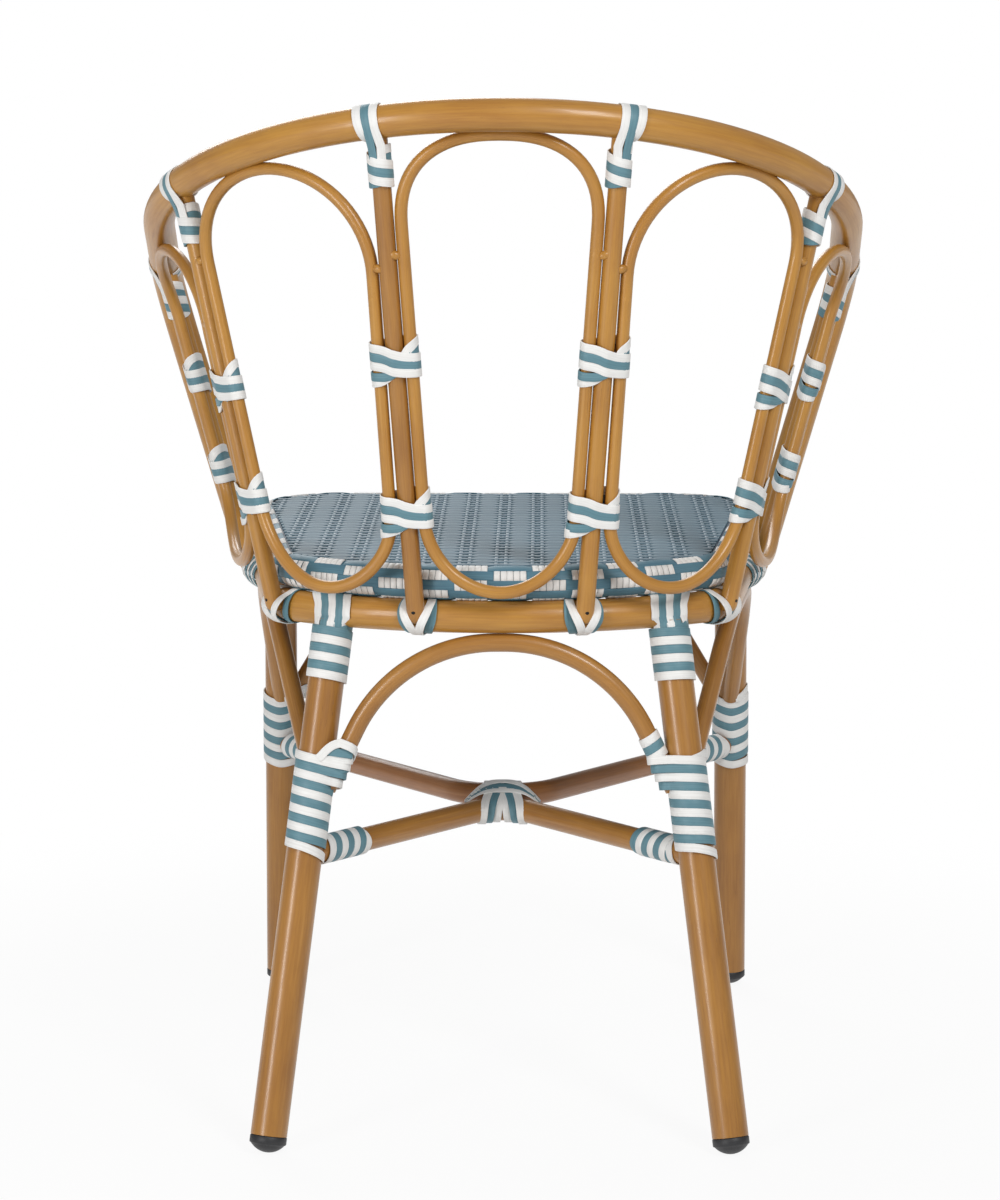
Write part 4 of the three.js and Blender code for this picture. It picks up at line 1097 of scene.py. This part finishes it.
def wrap_post_clusters(name, hand, post):
    """The two clusters that tie the post to the loops beside it."""
    tubes = [(post.line, POST_RADIUS)]
    for loop_name in loops_beside(name, hand):
        line = loops[loop_name]
        tubes.append((np.vstack((line, line[:1])), LOOP_RADIUS))
    for level, share in zip(("mid", "low"), WRAP_SHARES[name]):
        begin = post.at(RING_HEIGHT + (post.top[2] - RING_HEIGHT) * share)
        bundle = Bundle(begin, -post.fall, post.side, tubes)
        runs = pair_wrap(bundle, **CLUSTER_WRAP)
        strips(f"strips_{level}_{name}_{hand}", runs, [f"wrap_{level}_{name}_{hand}"])


def strap_post_foot(name, hand, post, ring_line, place):
    """The straps round the seat ring that cross over the tip of the post."""
    seat, along = crossing(ring_line, *place)
    base = Joint(seat, along, post.side, RING_RADIUS)
    runs = []
    for way in (-1, 1):
        runs.append(base.run(fan(BASE_TEAL, way), TEAL))
        runs.append(base.run(fan(BASE_WHITE, way), WHITE))
    if name == "side":
        runs += side_turns(base)
    strips(f"straps_base_{name}_{hand}", runs)


def wrap_posts():
    for hand, group in posts.items():
        rail_line, ring_line = on_hand(rail_half, hand), on_hand(ring_half, hand)
        for name, post in group.items():
            axis, on_ring, on_rail = POST_PLACES[name]
            sign = -1 if hand == "right" and axis == 0 else 1
            wrap_post_top(name, hand, post, rail_line, (axis, sign * on_rail))
            wrap_post_clusters(name, hand, post)
            strap_post_foot(name, hand, post, ring_line, (axis, sign * on_ring))


# Straps over the ring on to a leg: pitch and shift on the ring, and lower down on the leg
SADDLE_PITCH, SADDLE_SHIFT = 7.3, 2.6
SHAFT_PITCH, SHAFT_SHIFT = 5.6, 1.6
# How far below the ring's centre a strap passes on the leg, and its lift there
SHAFT_STATIONS = ((11, 0.55), (15, 0.3), (20, 0.2), (24, 0.2))
# The peak in a fork: angle, height above the wrap's top, and lift
PEAK_LIMBS = (
    ((8, -4.5, OVER + 0.9), (28, 4.5, OVER + 0.6), (50, 12.5, UNDER)),
    ((46, 12.5, UNDER + 0.4), (68, 6.5, UNDER + 0.6), (90, -2.0, UNDER)),
)
PEAK_FILLING = ((30, 3.8, UNDER - 0.3), (66, 3.2, UNDER - 0.3))
ARCH_TURNS_RISE = 12.0


def saddle_straps(saddle, shaft, side):
    """Five straps over the ring that run down on to the top of a leg. The side is 1 where the way
    along the ring is to the right for someone who faces the leg."""
    runs = []
    askew = float(saddle.out @ shaft.right) * side
    reach = abs(float(saddle.along @ shaft.right))
    for k in range(-2, 3):
        high, low = SADDLE_PITCH * k + SADDLE_SHIFT, SHAFT_PITCH * k + SHAFT_SHIFT
        front = (low - askew * (RING_RADIUS + UNDER)) / reach
        turn = math.degrees(math.asin(min(low / (LEG_RADIUS + UNDER), 0.86))) * side
        extra = [shaft.spot(-drop, turn, lift) for drop, lift in SHAFT_STATIONS]
        marks = [(-165, high, UNDER), (0, high, UNDER), (60, front, UNDER), (100, front, UNDER)]
        runs.append(saddle.run(marks, (k % 2) * 1.0, extra))
    return runs


def peak_straps(bundle, side):
    """The peak of white strap in the fork between a leg and its arch, with a teal strap under it."""

    def limb(marks, tone):
        return bundle.run([(side * angle, height, lift) for angle, height, lift in marks], tone)

    return [limb(marks, WHITE) for marks in PEAK_LIMBS] + [limb(PEAK_FILLING, TEAL)]


def arch_turns(route, height):
    """Three turns round an arch just above the place where it joins the leg."""
    place, along = crossing(route[::-1], 2, height)
    up = along if along[2] > 0 else -along
    sleeve = Bundle(place, up, (0, 1, 0), [(route, ARCH_RADIUS)])
    runs = []
    for k in range(3):
        marks = [(a, TURN_PITCH * k + 1.2 * math.sin(math.radians(a)), UNDER) for a in range(0, 361, 45)]
        runs.append(sleeve.run(marks, (k % 2) * 1.0, True))
    return runs


def wrap_leg_top(name, hand, leg, ring_line, sign):
    """The straps over the ring and the turns below them."""
    if name == "rear":
        out = np.array((0, 1.0, 0))
        seat, along = crossing(ring_line, 0, sign * REAR_LEG_TOP_X)
    else:
        out = np.array((sign * 1.0, 0, 0))
        seat, along = crossing(ring_line, 1, FRONT_LEG_TOP[1])
    saddle = Joint(seat, along, out, RING_RADIUS)
    shaft = Bundle(leg.top, leg.up, out, [(leg.line, LEG_RADIUS)])
    runs = saddle_straps(saddle, shaft, 1 if along @ shaft.right > 0 else -1)
    runs += pair_wrap(shaft, **LEG_TOP_WRAP)
    strips(f"strips_leg_top_{name}_{hand}", runs, [f"wrap_leg_top_{name}_{hand}"])


def wrap_leg_middle(name, hand, leg, sign):
    """The long wrap that ties both arches to the leg, with what the photograph shows above it."""
    cross = on_hand(arches[f"arch_{name}"], hand)
    members = [(leg.line, LEG_RADIUS), (cross, ARCH_RADIUS), (arches[f"arch_{hand}"], ARCH_RADIUS)]
    out = (0, 1, 0)
    if name == "front":
        runs = pair_wrap(Bundle(leg.at(FRONT_MID_HEIGHT), leg.up, out, members), **FRONT_LEG_WRAP)
    else:
        middle = leg.at(REAR_MID_HEIGHT)
        runs = pair_wrap(Bundle(middle, leg.up, out, members), **REAR_LEG_WRAP)
        if hand == "left":
            fork = Bundle(middle + leg.up * REAR_LEG_WRAP["top"], leg.up, out, members)
            runs += peak_straps(fork, sign)
        else:
            runs += arch_turns(cross, REAR_MID_HEIGHT + ARCH_TURNS_RISE)
    strips(f"strips_leg_mid_{name}_{hand}", runs, [f"wrap_leg_mid_{name}_{hand}"])


def wrap_stretcher_end(name, hand):
    route = on_hand(rear_bow if name == "rear" else front_bow, hand)
    inward = unit(route[1] - route[0])
    start = route[0] + inward * STRETCHER_WRAP_PLACE
    end = Bundle(start, -inward, (0, 0, 1), [(route, STRETCHER_RADIUS)])
    strips(f"strips_stretcher_{name}_{hand}", pair_wrap(end, **STRETCHER_WRAP))


def wrap_legs():
    for hand, group in legs.items():
        ring_line = on_hand(ring_half, hand)
        sign = 1 if hand == "left" else -1
        for name, leg in group.items():
            wrap_leg_top(name, hand, leg, ring_line, sign)
            wrap_leg_middle(name, hand, leg, sign)
            wrap_stretcher_end(name, hand)


# The knot: its turns by place along it and by swing, and its cap strips by place across it
KNOT_TURNS = ((14.6, 3.6, WHITE), (8.6, 4.4, TEAL), (3.0, 3.0, WHITE))
KNOT_CAP = ((-8.0, WHITE), (-1.2, TEAL), (5.6, WHITE))
KNOT_REACH = 31.0
KNOT_FALL = 11.0
KNOT_TIP_TURN = 1.1
KNOT_DEPTH = 16.0


def wrap_knot():
    """Turns round both stretchers where they touch, in a mirrored pair, and strips arched over them."""
    bows = [(rear_bow, STRETCHER_RADIUS), (front_bow, STRETCHER_RADIUS)]
    middle = (0, (rear_apex_y + front_apex_y) / 2, STRETCHER_HEIGHT + FRONT_BOW_LIFT / 2)
    knot = Bundle(middle, (1, 0, 0), (0, 0, 1), bows, steady=False)
    runs = []
    for way in (-1, 1):
        for place, swing, tone in KNOT_TURNS:
            marks = [
                (a, way * (place - swing * math.cos(math.radians(a))), UNDER) for a in range(0, 361, 30)
            ]
            runs.append(knot.run(marks, tone, True))
    for across, tone in KNOT_CAP:
        points, normals = [], []
        for x in np.linspace(-KNOT_REACH, KNOT_REACH, 25):
            share = abs(x) / KNOT_REACH
            angle = math.degrees(math.atan2(-across * (1 - 0.5 * share ** 3), KNOT_DEPTH))
            point, normal = knot.spot(x, angle, OVER + 0.6)
            points.append(point - (0, 0, KNOT_FALL * share ** 3.2))
            normals.append(unit(normal + knot.up * math.copysign(KNOT_TIP_TURN * share ** 2, x)))
        runs.append((np.array(points), np.array(normals), tone, False))
    strips("strips_knot", runs, ["wrap_knot"])


wrap_posts()
wrap_legs()
wrap_knot()


# Woven seat


def draw_in(corners, insets):
    """The half outline of the ring with each of its sides drawn in by its own amount."""
    line = [np.array((0, corners[0][1])), *map(np.array, corners), np.array((0, corners[-1][1]))]
    sides = []
    for a, b in zip(line[:-1], line[1:]):
        along = unit(b - a)
        sides.append(np.array((-along[1], along[0])))
    moved = []
    for k, corner in enumerate(corners):
        first, second = sides[k], sides[k + 1]
        lap = float(first @ second)
        a, b = insets[k], insets[k + 1]
        step = first * (b * lap - a) + second * (a * lap - b)
        moved.append(tuple(np.array(corner) + step / (1 - lap ** 2)))
    return moved


# How far the seat's edge lies inside the ring, behind and at the sides
REAR_INSET = 4.0
SIDE_INSET = 10.0
INSETS = (REAR_INSET, (REAR_INSET + SIDE_INSET) / 2, SIDE_INSET, 0.0)
seat_bends = [bend - (INSETS[k] + INSETS[k + 1]) / 2 for k, bend in enumerate(RING_BENDS)]
SEAT_STEP = 6.0
seat_path = filled(ring_route(draw_in(RING_CORNERS, INSETS), seat_bends, SEAT_HEIGHT), SEAT_STEP, True)

# The rolled edge: its reach from the hoop's centre, its shell, and its rows and cells by angle and length
EDGE_REACH = WEAVE_OUTER - 0.4
SHELL_SINK = 0.9
SHELL_ROOM = 0.2
PANEL_INSET = 8.0
EDGE_ROWS = 5
ROW_ANGLE = 35.0
ROW_TOP = 87.0
ROW_WIDTH = 7.9
ROW_STEP = 7.2
ROW_WAVE = 0.75
ROW_SINK = 0.1
CELL_PAIR_LENGTH = 58.0
CELL_LAP = 2
CELL_RIBS = 5
RIB_STEP = 4.9
RIB_WIDTH = 4.85
RIB_LIFT = 0.85
RIB_END_DIP = 1.0


def seat_frames(path):
    """The way out of the seat at each point of its edge, and the length up to it."""
    ahead = np.roll(path, -1, 0) - np.roll(path, 1, 0)
    out = np.column_stack((ahead[:, 1], -ahead[:, 0], np.zeros(len(path))))
    out /= np.linalg.norm(out, axis=1)[:, None]
    out *= np.sign(np.sum(out * path, axis=1))[:, None]
    lengths = np.concatenate(([0], np.cumsum(np.linalg.norm(np.diff(path, axis=0), axis=1))))
    return out, lengths


seat_out, seat_lengths = seat_frames(seat_path)
seat_total = seat_lengths[-1] + np.linalg.norm(seat_path[0] - seat_path[-1])
CELL_PAIRS = round(seat_total / CELL_PAIR_LENGTH)
CELL = seat_total / (2 * CELL_PAIRS)


def on_edge(length, angle, reach):
    """A place on the rolled edge: by length round the seat and by angle, 90 on top, 0 outside."""
    length = length % seat_total
    lengths = np.append(seat_lengths, seat_total)
    k = min(int(np.searchsorted(lengths, length, side="right")) - 1, len(seat_path) - 1)
    share = (length - lengths[k]) / (lengths[k + 1] - lengths[k])
    j = (k + 1) % len(seat_path)
    centre = seat_path[k] + (seat_path[j] - seat_path[k]) * share
    out = unit(seat_out[k] + (seat_out[j] - seat_out[k]) * share)
    turn = math.radians(angle)
    normal = out * math.cos(turn) + UP * math.sin(turn)
    return centre + normal * reach, normal


def outward(mesh):
    """Turns a closed mesh so that its faces point out."""
    solid = bmesh.new()
    solid.from_mesh(mesh)
    bmesh.ops.recalc_face_normals(solid, faces=solid.faces)
    if solid.calc_volume() < 0:
        bmesh.ops.reverse_faces(solid, faces=solid.faces)
    solid.to_mesh(mesh)
    solid.free()


def make_seat_base():
    """The shell under the strips: the rolled edge and the flat middle, dark blue as painted shade where it
    shows between them.
    """
    angles = [*range(90, -91, -15), *range(-110, -191, -20)]
    outer, inner = EDGE_REACH - SHELL_SINK, SEAT_TUBE_RADIUS + SHELL_ROOM
    verts, faces = [], []
    for centre, out in zip(seat_path, seat_out):
        ways = [out * math.cos(math.radians(a)) + UP * math.sin(math.radians(a)) for a in angles]
        verts.append(centre - out * PANEL_INSET + UP * outer)
        verts += [centre + way * outer for way in ways]
        verts += [centre + way * inner for way in reversed(ways)]
        verts.append(centre - out * PANEL_INSET + UP * inner)
    size = 2 * len(angles) + 2
    total = len(seat_path)
    for s in range(total):
        n = (s + 1) % total
        for k in range(size - 1):
            faces.append((s * size + k, s * size + k + 1, n * size + k + 1, n * size + k))
    top = [s * size for s in range(total)]
    under = [s * size + size - 1 for s in range(total)]
    faces += [tuple(reversed(top)), tuple(under)]
    mesh = bpy.data.meshes.new("seat_base")
    mesh.from_pydata(((np.array(verts) + DRAWING_SHIFT) * MM).tolist(), [], faces)
    outward(mesh)
    mesh.materials.append(seat_shade)
    settle(shown("seat_base", mesh), ["seat_weave"])


def split(stations):
    """Points and outward directions as two arrays."""
    return np.array([s[0] for s in stations]), np.array([s[1] for s in stations])


def make_edge_rows():
    """Teal strips round the rolled edge, that go in and out between the cells."""
    runs = []
    for row in range(EDGE_ROWS):
        angle = ROW_TOP - ROW_ANGLE * (row + 0.5)
        stations = []
        for length in np.arange(0, seat_total, ROW_STEP):
            phase = math.cos(math.pi * length / CELL) * (1 if row % 2 else -1)
            wave = ROW_WAVE * math.tanh(2.5 * phase)
            stations.append(on_edge(length, angle, EDGE_REACH + wave - ROW_SINK))
        runs.append((*split(stations), 0.0, True))
    strips("seat_edge_rows", runs, width=ROW_WIDTH, finishes=(seat_row, seat_row))


def make_edge_cells():
    """White cells of short ribs across the rows, in a chequer."""
    runs = []
    for row in range(EDGE_ROWS):
        high = ROW_TOP - ROW_ANGLE * row + CELL_LAP
        for cell in range(row % 2, 2 * CELL_PAIRS, 2):
            for k in range(CELL_RIBS):
                length = cell * CELL + (k - (CELL_RIBS - 1) / 2) * RIB_STEP
                stations = []
                for share in (0.0, 0.08, 0.5, 0.92, 1.0):
                    dip = RIB_END_DIP if share in (0.0, 1.0) else 0.0
                    angle = high - (ROW_ANGLE + 2 * CELL_LAP) * share
                    stations.append(on_edge(length, angle, EDGE_REACH + RIB_LIFT - dip))
                runs.append((*split(stations), 0.0, False))
    strips("seat_edge_cells", runs, width=RIB_WIDTH, edge_steps=1, finishes=(white_strip, white_strip))


def inside_span(y):
    """How far the seat's flat top reaches to the side at a depth."""
    best = 0.0
    for k in range(len(seat_path)):
        a, b = seat_path[k], seat_path[(k + 1) % len(seat_path)]
        if (a[1] - y) * (b[1] - y) <= 0 and a[1] != b[1]:
            x = a[0] + (b[0] - a[0]) * (y - a[1]) / (b[1] - a[1])
            best = max(best, x)
    return best


# The flat top: pairs of warps over wefts, with the waves that they make as they cross
TOP_MARGIN = 2
TOP_LEVEL = SEAT_HEIGHT + EDGE_REACH + 0.1
TOP_BACK = max(point[1] for point in seat_path) - TOP_MARGIN
TOP_FRONT = min(point[1] for point in seat_path) + TOP_MARGIN
WEFT_PITCH = 7.4
WEFT_WIDTH, WEFT_THICKNESS = 6.6, 1.5
WEFT_STEP = 3.8
WEFT_SHORTEST = 20
WEFT_RISE, WEFT_DIP, WEFT_SPREAD = 0.45, -0.9, 3.0
WARP_PITCH = 28.6
WARP_SPREAD = 3.8
WARP_WIDTH, WARP_THICKNESS = 3.0, 1.0
WARP_MARGIN = 3
WARP_FEWEST_POINTS = 6
WARP_LIFT, WARP_WAVE = 0.1, 0.62


def flat_run(points, tone):
    return np.array(points), np.tile(UP, (len(points), 1)), tone, False


def make_wefts():
    """Strips from side to side, every other one under the pairs of warps, and the others, which pass over
    them, in a darker copy of the blue as painted shade.
    """
    runs = []
    for k, y in enumerate(np.arange(TOP_FRONT, TOP_BACK, WEFT_PITCH)):
        reach = inside_span(y) - TOP_MARGIN
        if reach < WEFT_SHORTEST:
            continue
        points = []
        for x in np.arange(-reach, reach + WEFT_STEP / 2, WEFT_STEP):
            near = (x / WARP_PITCH - round(x / WARP_PITCH)) * WARP_PITCH
            wave = sum(math.exp(-(((near - s) / WEFT_SPREAD) ** 2)) for s in (-WARP_SPREAD, WARP_SPREAD))
            points.append((x, y, TOP_LEVEL + (WEFT_RISE if k % 2 else WEFT_DIP) * wave))
        runs.append(flat_run(points, (k % 2) * 1.0))
    strips("seat_wefts", runs, width=WEFT_WIDTH, thickness=WEFT_THICKNESS, edge=0.7,
           finishes=(seat_strip, seat_strip_painted_shade))


def make_warps():
    """Pairs of narrow strips from front to back, that go over and under the wefts, in a lighter blue that
    paints the glints at the rib columns.
    """
    runs = []
    widest = max(point[0] for point in seat_path)
    for middle in np.arange(-math.floor(widest / WARP_PITCH) * WARP_PITCH, widest, WARP_PITCH):
        for x in (middle - WARP_SPREAD, middle + WARP_SPREAD):
            places = np.arange(TOP_FRONT, TOP_BACK, WEFT_PITCH / 2)
            inside = [y for y in places if inside_span(y) - WARP_MARGIN > abs(x)]
            if len(inside) < WARP_FEWEST_POINTS:
                continue
            points = []
            for y in inside:
                wave = WARP_LIFT + WARP_WAVE * math.cos(math.pi * (y - TOP_FRONT) / WEFT_PITCH)
                points.append((x, y, TOP_LEVEL + wave))
            runs.append(flat_run(points, 0.0))
    strips("seat_warps", runs, width=WARP_WIDTH, thickness=WARP_THICKNESS, edge=0.45, edge_steps=1,
           finishes=(seat_rib_painted_glint, seat_rib_painted_glint))


make_seat_base()
make_edge_rows()
make_edge_cells()
make_wefts()
make_warps()

# The hoop shows as it is in the frame, in plain steel
steel_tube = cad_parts["seat_frame"]
steel_tube.data.materials.clear()
steel_tube.data.materials.append(seat_steel)


# Welds and screws


WELD_HEIGHTS = {"rear": 697.0, "corner": 690.0}
WELD_STEP = 6.0
WELD_LENGTH, WELD_RADIUS = 10.5, 3.6
WELD_OUT = 3.0
# A loop runs beside its post where the gap is under this, and a weld keeps this far from the end of that
WELD_GAP = 1.5
WELD_MARGIN = 2
SCREW_RISE = 6.0
SCREW_SINK = 0.6
SCREW_LENGTH, SCREW_RADIUS = 1.8, 1.9
BEAD_POLE_ANGLE = 0.08


def bead(name, centre, axis, length, radius, material):
    """A small rounded body, a weld or the head of a screw."""
    axis = unit(axis)
    angles = np.linspace(BEAD_POLE_ANGLE, math.pi - BEAD_POLE_ANGLE, 9)
    line = np.array([np.asarray(centre) - axis * length / 2 * math.cos(t) for t in angles])
    reach = [radius * math.sin(t) for t in angles]
    tube(name, line, reach, material, sides=14)


def weld_height(post, line, height):
    """The height of a weld, no higher than the loop runs beside the post."""
    gaps = np.linalg.norm(np.cross(line - post.foot, post.fall), axis=1)
    beside = line[gaps < POST_RADIUS + LOOP_RADIUS + WELD_GAP]
    return min(height, beside[:, 2].max() - WELD_MARGIN)


def make_welds(name, hand, post):
    for k, loop_name in enumerate(loops_beside(name, hand)):
        line = loops[loop_name]
        centre = post.at(weld_height(post, line, WELD_HEIGHTS[name] - WELD_STEP * k))
        near = line[np.argmin(np.linalg.norm(line - centre, axis=1))]
        middle = (near + centre) / 2 + post.side * WELD_OUT
        bead(f"weld_{name}_{hand}_{k}", middle, near - centre, WELD_LENGTH, WELD_RADIUS, bamboo)


def make_screw(name, hand, post):
    spot = post.at(RING_HEIGHT + SCREW_RISE) + post.side * (POST_RADIUS - SCREW_SINK)
    bead(f"screw_{name}_{hand}", spot, post.side, SCREW_LENGTH, SCREW_RADIUS, screw_dark)


for hand, group in posts.items():
    for name in WELD_HEIGHTS:
        make_welds(name, hand, group[name])
    for name, post in group.items():
        make_screw(name, hand, post)


# Camera, floor and light


def make_camera():
    lens = bpy.data.cameras.new("camera")
    lens.sensor_width = SENSOR
    lens.lens = FOCAL_PIXELS * SENSOR / PHOTO_HEIGHT
    holder = shown("camera", lens)
    pitch, turn = math.radians(CAMERA_PITCH), math.radians(CAMERA_TURN)
    ahead = Vector((math.sin(turn) * math.cos(pitch), -math.cos(turn) * math.cos(pitch), -math.sin(pitch)))
    holder.rotation_euler = ahead.to_track_quat("-Z", "Y").to_euler()
    holder.location = CAMERA_PLACE
    bpy.context.scene.camera = holder


def sees_white(finish):
    """1 for rays from the camera and for mirror and glass rays, which see the white studio."""
    total = 0.0
    for kind in ("Camera", "Glossy", "Transmission"):
        ray = finish.node("ShaderNodeLightPath", output=f"Is {kind} Ray")
        total = finish.node("ShaderNodeMath", {"operation": "MAXIMUM"}, {0: total, 1: ray})
    return total


# The floor shows as white far off and a little below it near the chair, where it keeps the shadow
FLOOR_REACH = 12.0
FLOOR_NEAR, FLOOR_FAR = 0.4, 1.0
FLOOR_WHITE_NEAR = 0.92


def make_floor():
    reach = FLOOR_REACH
    mesh = bpy.data.meshes.new("floor")
    corners = [(-reach, -reach, 0), (reach, -reach, 0), (reach, reach, 0), (-reach, reach, 0)]
    mesh.from_pydata(corners, [], [(0, 1, 2, 3)])
    floor = shown("floor", mesh)
    finish = Finish("floor")
    finish.put("Base Color", (0.8, 0.8, 0.8, 1))
    finish.put("Roughness", 0.9)
    glow = finish.node("ShaderNodeEmission", sockets={"Color": (1, 1, 1, 1), "Strength": 1.0})
    away = finish.node("ShaderNodeVectorMath", {"operation": "LENGTH"}, {0: finish.place()}, output=1)
    white = finish.between(away, FLOOR_NEAR, FLOOR_FAR) * (1 - FLOOR_WHITE_NEAR) + FLOOR_WHITE_NEAR
    plain = Value(finish.tree, finish.shader.outputs[0])
    mixed = finish.node("ShaderNodeMixShader", sockets={0: sees_white(finish) * white, 1: plain, 2: glow})
    finish.feed(finish.tree.nodes["Material Output"].inputs["Surface"], mixed)
    mesh.materials.append(finish.material)


def soft_lamp(name, place, target, size, power):
    data = bpy.data.lights.new(name, "AREA")
    data.shape = "RECTANGLE"
    data.size, data.size_y = size
    data.energy = power
    lamp = shown(name, data)
    lamp.location = place
    lamp.rotation_euler = (Vector(target) - Vector(place)).to_track_quat("-Z", "Y").to_euler()


# The world's strength as light, where 1 is what the camera sees
WORLD_LIGHT = 0.35


def make_world():
    world = bpy.data.worlds.new("studio")
    world.use_nodes = True
    tree = world.node_tree
    background = tree.nodes["Background"]
    background.inputs["Color"].default_value = (1, 1, 1, 1)
    path = tree.nodes.new("ShaderNodeLightPath")
    camera = Value(tree, path.outputs["Is Camera Ray"])
    strength = camera * (1 - WORLD_LIGHT) + WORLD_LIGHT
    tree.links.new(strength.socket, background.inputs["Strength"])
    bpy.context.scene.world = world


make_camera()
make_floor()
make_world()
soft_lamp("key", place=(-1.4, 2.4, 2.6), target=(0, 0, 0.45), size=(0.7, 1.4), power=51)
soft_lamp("fill", place=(1.8, 2.3, 1.0), target=(0, 0, 0.4), size=(0.6, 1.4), power=32)
soft_lamp("front", place=(0.7, -2.5, 2.0), target=(0, 0, 0.45), size=(1.6, 1.4), power=34)
bpy.context.scene.view_settings.view_transform = "Standard"
